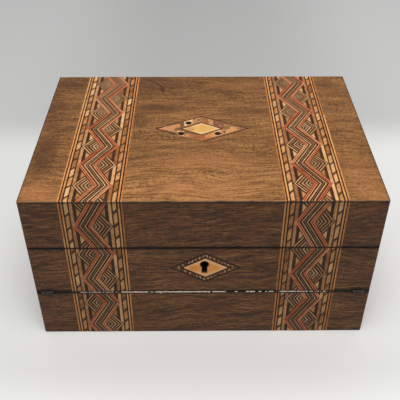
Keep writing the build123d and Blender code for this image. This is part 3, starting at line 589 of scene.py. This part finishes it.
class Veneer:
    """Flat tiles let into a face, gathered by wood until they are made into pieces."""

    def __init__(self):
        self.woods = {}

    def lay(self, wood, outline, place, level, depth=0.25):
        """One tile; its top stands level hundredths of a millimetre proud."""
        points, faces = self.woods.setdefault(wood, ([], []))
        area = sum(a[0] * b[1] - b[0] * a[1] for a, b in zip(outline, outline[1:] + outline[:1]))
        if abs(area) < 0.02:
            return
        first, count = len(points), len(outline)
        for h in (level * 0.01 - depth, level * 0.01):
            points.extend(place(u, v, h) for u, v in outline)
        low, high = range(first, first + count), range(first + count, first + 2 * count)
        turned = [list(low)[::-1], list(high)]
        for k in range(count):
            n = (k + 1) % count
            turned.append([low[k], low[n], high[n], high[k]])
        a, b, c = (place(u, v, 0.0) for u, v in (outline[0], outline[1], outline[2]))
        o = place(outline[0][0], outline[0][1], 1.0)
        cross = [(b[i] - a[i]) * (c[j] - a[j]) - (b[j] - a[j]) * (c[i] - a[i])
                 for i, j in ((1, 2), (2, 0), (0, 1))]
        if sum(cross[k] * (o[k] - a[k]) for k in range(3)) < 0:
            turned = [face[::-1] for face in turned]
        faces.extend(turned)

    def make(self, name, body, stands_for=()):
        """One piece for each wood; the first of them stands for the solids that all replace."""
        for k, (wood, (points, faces)) in enumerate(sorted(self.woods.items())):
            if points:
                piece("%s_%s" % (name, wood), body, points, faces, WOODS[wood], WOOD_SLOT[wood],
                      stands_for if k == 0 else ())


def strip(u0, u1, v0, v1):
    """Corners of a rectangle."""
    return [(u0, v0), (u1, v0), (u1, v1), (u0, v1)]


SQUARE = strip(-1, 1, -1, 1)


def diamond(cx, cy, hw, hh):
    """Corners of a lozenge from its centre, half width and half height."""
    return [(cx - hw, cy), (cx, cy + hh), (cx + hw, cy), (cx, cy - hh)]


def clip(outline, v0, v1):
    """Part of a convex outline between v0 and v1."""
    for limit, sign in ((v0, 1), (v1, -1)):
        kept = []
        for a, b in zip(outline, outline[1:] + outline[:1]):
            da, db = (a[1] - limit) * sign, (b[1] - limit) * sign
            if da >= 0:
                kept.append(a)
            if (da > 0 > db) or (da < 0 < db):
                t = da / (da - db)
                kept.append((a[0] + (b[0] - a[0]) * t, limit))
        outline = kept
        if len(outline) < 3:
            return []
    return outline


# the bands
HALF_PERIOD, REACH, RIBBON = 29.5, 16.2, 15.5
HALF_RIBBON = [  # wood and width of its stripes, from one edge to the middle one
    ("red", 1.2), ("dark", 0.7), ("red", 1.0), ("jet", 1.1), ("olive", 0.9), ("ash", 0.75), ("jet", 1.1)]
RIBBON_STRIPES = HALF_RIBBON + [("mauve", 1.0)] + HALF_RIBBON[::-1]
NEST_RINGS = [("black", 1.0)]  # wood and size of each diamond, laid one on the other
for ring, line in enumerate(("ash", "tan", "ash", "grey", "ash")):
    size = 0.97 - ring * 0.188
    NEST_RINGS += [("mauve" if ring % 2 else "olive", size), (line, size - 0.048), ("jet", size - 0.108)]
NEST_RINGS += [("plum" if ring % 2 else "olive", size), (line, size - 0.042), ("black", size - 0.094)]
NEST_RINGS += [("plum", 0.07)]
CORNER_PIECES = [  # wood, level and outline, from the band's middle line and from the nest's centre
    ("dark", 3, [(14.7, 3.2), (7.4, 14.7), (14.7, 26.3)]),
    ("black", 4, [(13.7, 5.0), (12.9, 6.0), (12.9, 23.4), (13.7, 24.4)]),
    ("pale", 4, [(11.7, 9.9), (8.3, 14.2), (11.7, 19.6)])]
STRINGS = [("amber", 25.3, 26.6), ("amber", 22.8, 24.1), ("black", 24.25, 25.15), ("black", 21.7, 22.7)]
PALE_LINE = (14.3, 17.2)
ROPE_LINE, ROPE_PITCH, ROPE_SKEW = (18.5, 21.5), 14.1, 3.2
NEST_OUT, NEST_RISE, NEST_FOCUS = 17.5, HALF_PERIOD * 0.45, 1.6
STRING_GAP, LINE_GAP, TURN_GAP, STRIPE_GAP = 0.12, 0.1, 0.04, 0.02  # hairlines left open between tiles


def lay_strings(lay, side, v0, v1, rng):
    """Thin straight strings, in lengths laid end to end."""
    for wood, a, b in STRINGS:
        v = v0 - rng.uniform(0, 60)
        while v < v1:
            step = rng.uniform(45, 95)
            lay(wood, strip(side * a, side * b, v, v + step - STRING_GAP), 2)
            v += step


def lay_rope(lay, side, v0, v1, rng):
    """Slanted pale dashes with pointed ends on a brown ground."""
    v = v0 - rng.uniform(0, ROPE_PITCH)
    a, b = ROPE_LINE
    mid, slant = (a + b) / 2, ROPE_SKEW / 2
    near, far = (0.0, ROPE_SKEW) if side > 0 else (ROPE_SKEW, 0.0)
    lay("umber", strip(side * a, side * b, v0, v1), 1)
    while v < v1:
        step = ROPE_PITCH * rng.uniform(0.93, 1.07)
        dash = step - rng.uniform(2.3, 3.5)
        lay("pale", [(side * a, v + near + 0.5), (side * mid, v + slant), (side * b, v + far + 0.5),
                     (side * b, v + far + dash - 0.5), (side * mid, v + slant + dash),
                     (side * a, v + near + dash - 0.5)], 2)
        v += step


def lay_nest(lay, way, v):
    """Diamonds laid one on the other, drawn in toward the ribbon's edge, and the pieces at their corners."""
    corner = way * (REACH - RIBBON)
    out = -way * NEST_OUT
    mid, reach = (corner + out) / 2, abs(out - corner) / 2
    focus = corner - way * NEST_FOCUS
    for n, (wood, size) in enumerate(NEST_RINGS):
        cx, hw, hh = focus + (mid - focus) * size, reach * size, NEST_RISE * size
        lay(wood, [(cx - hw, v), (cx, v - hh), (cx + hw, v), (cx, v + hh)], 4 + n * 0.4, 0.3)
    for up in (-1, 1):
        for wood, level, outline in CORNER_PIECES:
            lay(wood, [(-way * a, v + up * b) for a, b in outline], level)


def lay_ribbon(lay, way, v):
    """One run of the striped ribbon, from this turn to the next."""
    swing = REACH - RIBBON / 2
    ua, ub = way * swing, -way * swing
    total = sum(width for wood, width in RIBBON_STRIPES)
    at = -RIBBON / 2
    for wood, width in RIBBON_STRIPES:
        width *= RIBBON / total
        lay(wood, [(ua + at, v + TURN_GAP), (ua + at + width - STRIPE_GAP, v + TURN_GAP),
                   (ub + at + width - STRIPE_GAP, v + HALF_PERIOD - TURN_GAP),
                   (ub + at, v + HALF_PERIOD - TURN_GAP)], 16, 0.4)
        at += width


def band(veneer, centre, place, v0, v1, tip, rng):
    """One stretch of band. tip is a turn where the ribbon swings furthest to the right."""
    def lay(wood, outline, level, depth=0.25):
        outline = clip(outline, v0, v1)
        if outline:
            veneer.lay(wood, [(centre + u, v) for u, v in outline], place, level, depth)

    lay("dark", strip(-BAND_W / 2, BAND_W / 2, v0, v1), 0, BED_DEPTH)
    first = int((v0 - tip) // HALF_PERIOD) - 1
    last = int((v1 - tip) // HALF_PERIOD) + 2
    turns = [(tip + k * HALF_PERIOD, 1 if k % 2 == 0 else -1) for k in range(first, last)]
    for side, line in ((-1, "tan"), (1, "pale")):
        lay_strings(lay, side, v0, v1, rng)
        lay_rope(lay, side, v0, v1, rng)
        a, b = PALE_LINE
        for v, _ in turns:
            lay(line, strip(side * a, side * b, v + LINE_GAP, v + HALF_PERIOD - LINE_GAP), 2)
    for v, way in turns:
        lay_nest(lay, way, v)
        lay_ribbon(lay, way, v)


# a turn of the left (-1) and right (1) band: its y on the cover, its height on the lock side
TOP_TIPS = {-1: -27.6, 1: -25.9}
LID_TIPS = {-1: 134.1 - HALF_PERIOD, 1: 138.3 - HALF_PERIOD}
TIER_TIPS = {-1: 72.3 - HALF_PERIOD, 1: 77.7 - HALF_PERIOD}
BASE_TIPS = {-1: 40.8, 1: 45.5}
EASED = EASE * math.sqrt(2)  # breadth of the flats along the eased edges


def lay_bands():
    """Both bands on the cover, the middle tier and the base, each cut where its tier ends."""
    stretches = {
        "lid": [(top_face, FRONT + EASE, BACK - EASE, TOP_TIPS),
                (eased(1, FRONT + EASE), FRONT + EASE - EASED, FRONT + EASE, TOP_TIPS),
                (eased(-1, BACK - EASE), BACK - EASE, BACK - EASE + EASED, TOP_TIPS),
                (lock_face, TIER + SEAM, TOTAL - EASE, LID_TIPS)],
        "foldout": [(lock_face, BASE_FRONT + SEAM, TIER, TIER_TIPS)],
        "base": [(lock_face, EASE, BASE_FRONT, BASE_TIPS), (foot_edge, EASE - EASED, EASE, BASE_TIPS)],
    }
    rng = random.Random(11)
    for body, rows in stretches.items():
        veneer = Veneer()
        for place, v0, v1, tips in rows:
            for side in (-1, 1):
                band(veneer, side * BAND_X, place, v0, v1, tips[side], rng)
        veneer.make(body + "_inlay", body,
                    ["%s_band_%s" % (body, wood) for wood in ("ground", "light", "red", "olive")])


lay_bands()


# lozenge on the cover and escutcheon round the keyhole
LOZENGE_BLOCKS = [  # wood and corners of each block of the border, on the cover
    ("blush", (-39.4, 2.6), (-31.4, 7.4), (-31.4, -0.5), (-36.6, 0.4)),
    ("red", (-33.0, 3.4), (-31.0, 4.1), (-30.8, 0.8), (-32.6, 1.1)),
    ("blush", (-31.2, 7.4), (-23.8, 9.7), (-23.8, 2.6), (-25.0, -3.9), (-30.9, -1.4)),
    ("orange", (-23.8, 9.9), (-19.2, 11.1), (-19.0, 4.8), (-23.8, 3.1)),
    ("green", (-24.9, 2.6), (-21.6, 3.4), (-21.2, -0.2), (-24.9, -0.1)),
    ("tan", (-24.7, -0.4), (-21.2, -0.6), (-21.6, -5.9), (-24.7, -4.2)),
    ("ash", (-21.4, -0.8), (-14.9, -1.9), (-14.9, -11.6), (-21.4, -8.6)),
    ("blush", (-14.6, -5.8), (-10.1, -6.7), (-9.9, -13.6), (-14.6, -11.8)),
    ("terra", (-9.7, -6.3), (1.2, -9.4), (1.2, -19.6), (-9.7, -14.2)),
    ("terra", (1.2, -9.4), (4.3, -8.0), (4.3, -18.1), (1.2, -19.6)),
    ("brown", (-6.0, -11.9), (-3.2, -11.3), (-2.7, -15.2), (-5.4, -14.7)),
    ("red", (4.4, -9.4), (7.3, -8.7), (7.3, -13.4), (4.4, -13.8)),
    ("orange", (7.4, -5.9), (9.6, -5.2), (9.6, -14.2), (7.4, -15.4)),
    ("orange", (9.7, -5.2), (13.0, -3.4), (13.0, -11.9), (9.7, -14.0)),
    ("ash", (13.1, -3.3), (19.8, 0.3), (19.8, -8.6), (13.1, -11.9)),
    ("tan", (19.9, 0.4), (24.0, 2.2), (24.0, -6.4), (19.9, -8.6)),
    ("blush", (24.1, 0.3), (28.4, 2.0), (28.4, -4.4), (24.1, -6.3)),
    ("orange", (28.6, 5.7), (33.4, 5.0), (33.4, -2.0), (28.6, -4.2)),
    ("tan", (33.6, 4.7), (37.3, 3.8), (37.3, -0.3), (33.6, -1.9)),
    ("brown", (37.4, 4.3), (42.3, 2.8), (42.3, 2.0), (37.4, -0.2)),
    ("brown", (12.4, 17.1), (22.3, 11.9), (22.3, 3.4), (14.3, 6.3)),
    ("mauve", (14.7, 13.7), (16.9, 12.8), (16.6, 10.2), (14.3, 10.8)),
    ("terra", (17.9, 8.7), (20.7, 7.6), (20.9, 5.1), (17.9, 6.3)),
    ("green", (22.6, 6.3), (27.3, 6.6), (27.3, 2.6), (22.9, 1.9)),
    ("terra", (22.6, 10.9), (28.4, 7.8), (28.2, 6.7), (22.6, 6.4)),
    ("tan", (7.8, 19.3), (12.3, 17.1), (12.3, 7.8), (8.8, 9.2)),
    ("terra", (3.6, 21.6), (7.6, 19.4), (7.8, 10.8), (3.6, 13.9)),
    ("tan", (1.0, 22.8), (3.4, 21.7), (3.4, 14.1), (1.1, 14.6)),
    ("tan", (-7.0, 19.4), (-2.8, 21.7), (-2.8, 13.8), (-6.8, 10.8)),
    ("tan", (-2.7, 21.8), (0.9, 22.8), (0.9, 14.6), (-2.7, 13.9)),
    ("green", (-2.6, 19.7), (0.6, 20.1), (0.6, 16.3), (-2.4, 16.2)),
    ("green", (-6.9, 19.6), (-4.4, 21.0), (-4.2, 19.2), (-6.8, 18.6)),
    ("ash", (-15.7, 15.0), (-7.1, 19.3), (-7.1, 10.3), (-14.9, 6.9)),
    ("brown", (-19.1, 11.2), (-15.8, 13.0), (-15.7, 6.4), (-18.8, 4.9)),
]
LOZENGE_STUDS = [  # wood, centre, half width and half height of the small dark blocks
    ("jet", -11.0, 12.5, 2.9, 2.6), ("jet", -17.9, -6.2, 3.1, 2.7), ("jet", 16.5, -6.4, 3.0, 2.6),
    ("dark", 22.9, -4.1, 0.8, 1.4), ("dark", 36.1, 2.4, 0.8, 0.8), ("dark", 20.7, 1.9, 0.8, 0.8)]


BLOCK_SHIFT = -2.1  # the corners above lie this much too far to the right
EDGE_LINE, INNER_LINE = (2.3, 1.2), (2.9, 1.6)  # how far the border's dark lines reach, across and up
STUD_CORNER = 1.12  # distance of a stud's corners, in half widths


def ring_sides(outer, inner):
    """The four sides between two lozenges, each as outer start, outer end, inner end, inner start."""
    a, b = diamond(*outer), diamond(*inner)
    return [[a[k], a[(k + 1) % 4], b[(k + 1) % 4], b[k]] for k in range(4)]


def lay_lozenge():
    """Dark edge, blocks and studs of the border, dark inner line and yellow middle."""
    cx, cy, hw, hh = LOZENGE
    mx, my, mw, mh = LOZENGE_MIDDLE
    veneer = Veneer()

    def ring(wood, outer, level):
        for side in ring_sides(outer, LOZENGE_MIDDLE):
            veneer.lay(wood, side, top_face, level, 0.3)

    veneer.lay("brown", diamond(*LOZENGE_BED), top_face, 0, BED_DEPTH)
    ring("jet", LOZENGE, 1)
    ring("brown", (cx, cy, hw - EDGE_LINE[0], hh - EDGE_LINE[1]), 2)
    for k, (wood, *corners) in enumerate(LOZENGE_BLOCKS):
        veneer.lay(wood, [(x + BLOCK_SHIFT, y) for x, y in corners], top_face, 3 + k * 0.1, 0.3)
    ring("umber", (mx, my, mw + INNER_LINE[0], mh + INNER_LINE[1]), 7)
    turns = [math.tau * (k + 0.5) / 8 for k in range(8)]
    for wood, x, y, w, h in LOZENGE_STUDS:
        veneer.lay(wood, [(x + BLOCK_SHIFT + w * STUD_CORNER * math.cos(t), y + h * STUD_CORNER * math.sin(t))
                          for t in turns], top_face, 9, 0.3)
    veneer.make("lozenge", "lid", ["lozenge_border"])
    low, high = [[(x, y, TOTAL + h) for x, y in diamond(*LOZENGE_MIDDLE)] for h in (-0.3, 0.07)]
    piece("lozenge_middle", "lid", low + high,
          [(0, 1, 2, 3), (7, 6, 5, 4), (0, 4, 5, 1), (1, 5, 6, 2), (2, 6, 7, 3), (3, 7, 4, 0)],
          FIELD_WOOD, "light_wood", ["lozenge_field"])


# the escutcheon's lines, as shares of its half width and half height, and how many dashes a side has
OPENING, BORDER_IN, DASH_LINE, BORDER_OUT, DASHES = 0.62, 0.72, 0.81, 0.915, 8
DOT_STEP, DOT_RISES = 2.1, (-1.6, 1.6, 0.0)  # how far a black dot lies along from its dash, and how far off


def lay_escutcheon():
    """Dark border with a plum line in it, pale dashes along the line and black dots beside them."""
    cx, cy, hw, hh = ESCUTCHEON
    veneer = Veneer()
    rng = random.Random(5)

    def border(wood, inner, outer, level, depth=0.3):
        """A lozenge-shaped border; p and q run from -1 to 1 across its two pairs of sides."""
        for a, b in ((-outer, -inner), (inner, outer)):
            for cell in (strip(a, b, -outer, outer), strip(-inner, inner, a, b)):
                outline = [(cx + hw * (p + q) / 2, cy + hh * (p - q) / 2) for p, q in cell]
                veneer.lay(wood, outline, lock_face, level, depth)

    border("jet", OPENING, 1.0, 0, BED_DEPTH)
    border("plum", BORDER_IN, BORDER_OUT, 1)
    corners = diamond(cx, cy, hw * DASH_LINE, hh * DASH_LINE)
    for k in range(4):
        (x0, y0), (x1, y1) = corners[k], corners[(k + 1) % 4]
        slant = (y1 - y0) / (x1 - x0)
        for n in range(DASHES):
            t = (n + rng.uniform(0.25, 0.75)) / DASHES
            x, y = x0 + (x1 - x0) * t, y0 + (y1 - y0) * t
            w, h = rng.uniform(0.45, 0.8), rng.uniform(0.8, 1.6)
            dash = [(x + i * w, y + j * h + i * w * slant) for i, j in SQUARE]
            veneer.lay(rng.choice(("grey", "grey", "tan")), dash, lock_face, 3, 0.3)
            x, y = x + DOT_STEP, y + DOT_STEP * slant + rng.choice(DOT_RISES)
            if abs(x - cx) < hw * 0.74:
                veneer.lay("black", [(x + i * 0.75, y + j * 0.9) for i, j in SQUARE], lock_face, 3, 0.3)
    veneer.make("escutcheon", "foldout", ["escutcheon_border"])


lay_lozenge()
lay_escutcheon()


# cloth
def sheet_of(name, body, u_range, v_range, place, thick, cells, finish, slot, stands_for, wave):
    """A thin closed cloth over a rectangle; place gives a point from u, v and the height over its bed."""
    (u0, u1), (v0, v1), (nu, nv) = u_range, v_range, cells
    points, faces = [], []
    for under in (0, 1):
        for j in range(nv + 1):
            for i in range(nu + 1):
                u, v = u0 + (u1 - u0) * i / nu, v0 + (v1 - v0) * j / nv
                points.append(place(u, v, 0.0 if under else thick + wave(u, v)))
    row, layer = nu + 1, (nu + 1) * (nv + 1)
    for j in range(nv):
        for i in range(nu):
            a = j * row + i
            faces.append((a, a + 1, a + row + 1, a + row))
            faces.append((layer + a + row, layer + a + row + 1, layer + a + 1, layer + a))
    rim = (list(range(nu)) + [nu + j * row for j in range(nv)]
           + [nv * row + i for i in range(nu, 0, -1)] + [j * row for j in range(nv, 0, -1)])
    for k, a in enumerate(rim):
        b = rim[(k + 1) % len(rim)]
        faces.append((a, layer + a, layer + b, b))
    return piece(name, body, points, faces, finish, slot, stands_for, True)


UNEVEN, WAVES = 0.1, 7


def soft_wave(seed):
    """Slight unevenness of a glued cloth, in millimetres."""
    rng = random.Random(seed)
    waves = [(rng.uniform(-1, 1) / 22, rng.uniform(-1, 1) / 22, rng.uniform(0, 6.3)) for k in range(WAVES)]

    def wave(u, v):
        return UNEVEN * sum(math.sin(a * u * 2 + b * v * 2 + c) for a, b, c in waves) / WAVES
    return wave


def on_slope(low):
    """Places on a bed that lies low below or above the writing plane."""
    def place(u, v, h):
        return (u, v, slope(v) + low + h)
    return place


base_cloth = sheet_of("base_writing_velvet", "base", (-135.5, 135.5), (-97.6, 53.4), on_slope(-1.3), 0.85,
                      (90, 50), FLAP_VELVET, "velvet", ["base_flap_cloth"], soft_wave(3))
fold_cloth = sheet_of("foldout_writing_velvet", "foldout", (-135.5, 135.5), (-97.8, 34.4), on_slope(0.8), 0.8,
                      (90, 46), FLAP_VELVET, "velvet", ["foldout_leaf_cloth"], soft_wave(4))

LINING_TOP = 152.95  # height of the board that the lining hangs from


def under_cover(u, v, h):
    """The cover's lining hangs from its board, so u is turned about."""
    return (-u, v, LINING_TOP - h)


lid_cloth = sheet_of("lid_lining_velvet", "lid", (-143.2, 143.2), (-98.7, 98.7), under_cover, 0.8,
                     (90, 60), LINING_CLOTH, "lining", ["lid_lining"], soft_wave(6))

# the cloth hinge that shows, torn and frayed, in the lower joint
WALL_TOP = 9.15  # the cloth's way across the wall's top
TORN = 1.0  # how far in from the face its edge has worn back
ROWS, ROWS_ON_TOP = 10, 8  # the last rows of the cloth hang down inside


def over_wall(u, v, h):
    """v runs inward from the lock face; past the wall's top the cloth turns down its inner face."""
    y = FRONT - 0.1 + min(v, WALL_TOP)
    if v < WALL_TOP + 0.01:
        return (u, y + (h if v > WALL_TOP - 0.01 else 0.0), slope(y) + 0.06 + h)
    return (u, y + h, slope(y) + 0.06 - (v - WALL_TOP))


seam_strip = sheet_of("seam_cloth_strip", "base", (-113.0, 113.0),
                      (TORN, TORN + (WALL_TOP - TORN) * ROWS / ROWS_ON_TOP), over_wall, 0.2,
                      (60, ROWS), LINEN, "cloth", ["seam_cloth"], lambda u, v: 0.0)
FRAY = [  # ends along x of what is left of the cloth's lip, and how full it is
    (-112.5, -102, 0.25), (-102, -84.4, 0.6), (-84, -79, 0.25), (-75, -50.5, 1.0), (-49.5, -45.5, 0.35),
    (-44, 4.5, 1.0), (4.5, 6.4, 1.3), (8.2, 20.8, 0.9), (28.9, 31.4, 0.9), (39.2, 47.6, 0.85),
    (50.7, 53.4, 0.8), (56.8, 59, 0.8), (60.2, 64, 0.75), (69.3, 85.2, 0.9), (85.9, 100.2, 0.9),
    (100, 107.7, 0.3), (110, 111.8, 0.8)]
THREADS = [  # where a loose thread hangs, and how far down
    (-39.0, 2.0), (-38.5, 1.4), (5.4, 1.1), (-66.0, 0.9), (-12.0, 1.0), (44.0, 1.0), (78.0, 0.9),
    (92.5, 1.1), (-20.5, 0.8), (31.0, 0.9)]


def lay_fray():
    """Torn lip of the cloth: short tufts side by side, and a few loose threads."""
    rng = random.Random(21)
    points, faces = [], []

    def tuft(x0, x1, low, high, out):
        lean = rng.uniform(-0.15, 0.15)
        first = len(points)
        for y, shrink in ((FRONT + 0.3, 0.0), (FRONT - out, 0.25)):
            dx, dz = (x1 - x0) * shrink / 2, (high - low) * shrink / 2
            points.extend([(x0 + dx, y, low + dz), (x1 - dx, y, low + dz + lean * 0.3),
                           (x1 - dx + lean, y, high - dz), (x0 + dx + lean, y, high - dz - lean * 0.3)])
        for face in ((0, 3, 2, 1), (4, 5, 6, 7), (0, 1, 5, 4), (1, 2, 6, 5), (2, 3, 7, 6), (3, 0, 4, 7)):
            faces.append([first + k for k in face])

    for x0, x1, full in FRAY:
        x = x0
        while x < x1:
            wide = rng.uniform(0.35, 1.1)
            if rng.random() < 0.55 + full * 0.45:
                tuft(x, min(x + wide, x1), BASE_FRONT + 0.15 - full * rng.uniform(0.2, 0.6),
                     BASE_FRONT + 0.5 + full * rng.uniform(0.3, 0.8), 0.1 + 0.2 * rng.random())
            x += wide * 0.92
    for x, drop in THREADS:
        tuft(x, x + 0.45, BASE_FRONT - drop, BASE_FRONT + 0.5, 0.16)
    return piece("seam_cloth_fray", "base", points, faces, LINEN, "cloth")


seam_fray = lay_fray()


# screws of the hinges and the lock: place, which way they face, radius and whether their bed slopes
def front_hinge_screws(z, way):
    return [(s * FRONT_HINGE_X, FRONT_SCREW_Y, z, way, 1.5, True) for s in (-1, 1)]


def back_hinge_screws(z, way):
    return [(s * BACK_HINGE_X + d, BACK_SCREW_Y, z, way, 1.6, True) for s in (-1, 1) for d in (-15, 0, 15)]


def plate_screws(y, z, way, r):
    return [(x, y, z, way, r, False) for x in (-24, 26)]


SCREWS = {
    "base": front_hinge_screws(0.0, 1) + back_hinge_screws(0.0, 1),
    "foldout": front_hinge_screws(SEAM, -1) + plate_screws(-100.5, TIER, 1, 1.7),
    "lid": back_hinge_screws(SEAM, -1) + plate_screws(-101.9, TIER + SEAM, -1, 1.6),
}


def lay_screws():
    """Countersunk heads, each two half rounds with the slot between them."""
    rng = random.Random(17)
    for body, rows in SCREWS.items():
        heads = Veneer()
        for cx, cy, z, way, r, slopes in rows:
            def place(u, v, h):
                y = cy + v
                return (cx + u, y, (slope(y) if slopes else 0.0) + z + way * h)

            turn, start = rng.uniform(0, math.pi), math.asin(0.25 / r)
            for half in (0.0, math.pi):
                arc = [turn + half + start + (math.pi - 2 * start) * k / 9 for k in range(10)]
                heads.lay("brass", [(r * math.cos(a), r * math.sin(a)) for a in arc], place, 10, 0.3)
        heads.make(body + "_screws", body)


lay_screws()

# camera
camera = add_object("camera", bpy.data.cameras.new("camera"))
camera.location = (-0.0055, -0.5138, 0.4829)
camera.rotation_euler = (math.radians(51.66), 0, math.radians(-0.36))
camera.data.sensor_width = 36
camera.data.lens = 57.35
camera.data.clip_start = 0.01
bpy.context.scene.camera = camera


# floor and light
def make_paper():
    """Pale paper, painted lighter toward the camera and the right and greyer behind as light falls off,
    with a slight painted shadow in front of the box; no strong bounce on the box.
    """
    f = Finish("pale_floor", Roughness=0.9, Specular_IOR_Level=0.05)
    x, y, _ = f.place()
    far = y.between(195.0, 300.0)
    right = x.between(-250.0, 420.0)
    centre = abs(x - 20.0).fades(60.0, 330.0)
    # painted falloff of light far behind: greyer, lighter to the right, darkest behind the box
    behind = 0.65 + right * 0.05 - centre * 0.12
    # painted light near the front: brighter toward the camera and the right, with a slight painted shadow in
    # front of the box
    near = (0.86 - spot(x, y, 0.0, -150.0, 260.0, 45.0) * 0.05 + y.fades(-215.0, -145.0) * 0.12
            + x.between(80.0, 330.0) * 0.11)
    tone = near * (1.0 - far) + behind * far
    camera_ray, glossy_ray, glass_ray = [f.node("ShaderNodeLightPath", out="Is %s Ray" % ray)
                                         for ray in ("Camera", "Glossy", "Transmission")]
    seen = camera_ray.most(glossy_ray).most(glass_ray)
    grey = f.node("ShaderNodeCombineColor", None, {0: tone, 1: tone, 2: tone * 0.99})
    f.feed("Base Color", f.mix(seen, (0.45, 0.45, 0.45, 1.0), grey))
    return f.material


def make_floor():
    reach = 4000.0
    mesh = bpy.data.meshes.new("floor")
    mesh.from_pydata([(x * reach * MM, y * reach * MM, -0.0002) for x, y in SQUARE], [], [(0, 1, 2, 3)])
    mesh.materials.append(make_paper())
    add_object("floor", mesh)


make_floor()


def lamp(name, place, aim, size, power):
    light = bpy.data.lights.new(name, "AREA")
    light.shape, light.size, light.energy = "DISK", size, power
    obj = add_object(name, light)
    obj.location = place
    way = Vector(aim) - Vector(place)
    obj.rotation_euler = way.to_track_quat("-Z", "Y").to_euler()


lamp("soft_lamp", (0.07, -1.0, 3.0), (0.0, 0.0, 0.0), 2.3, 70.0)
world = bpy.data.worlds.new("room")
bpy.context.scene.world = world
world.use_nodes = True
sky = world.node_tree.nodes["Background"].inputs
sky["Color"].default_value = (1.0, 1.0, 1.0, 1.0)
sky["Strength"].default_value = 0.32
bpy.context.scene.view_settings.view_transform = "Standard"
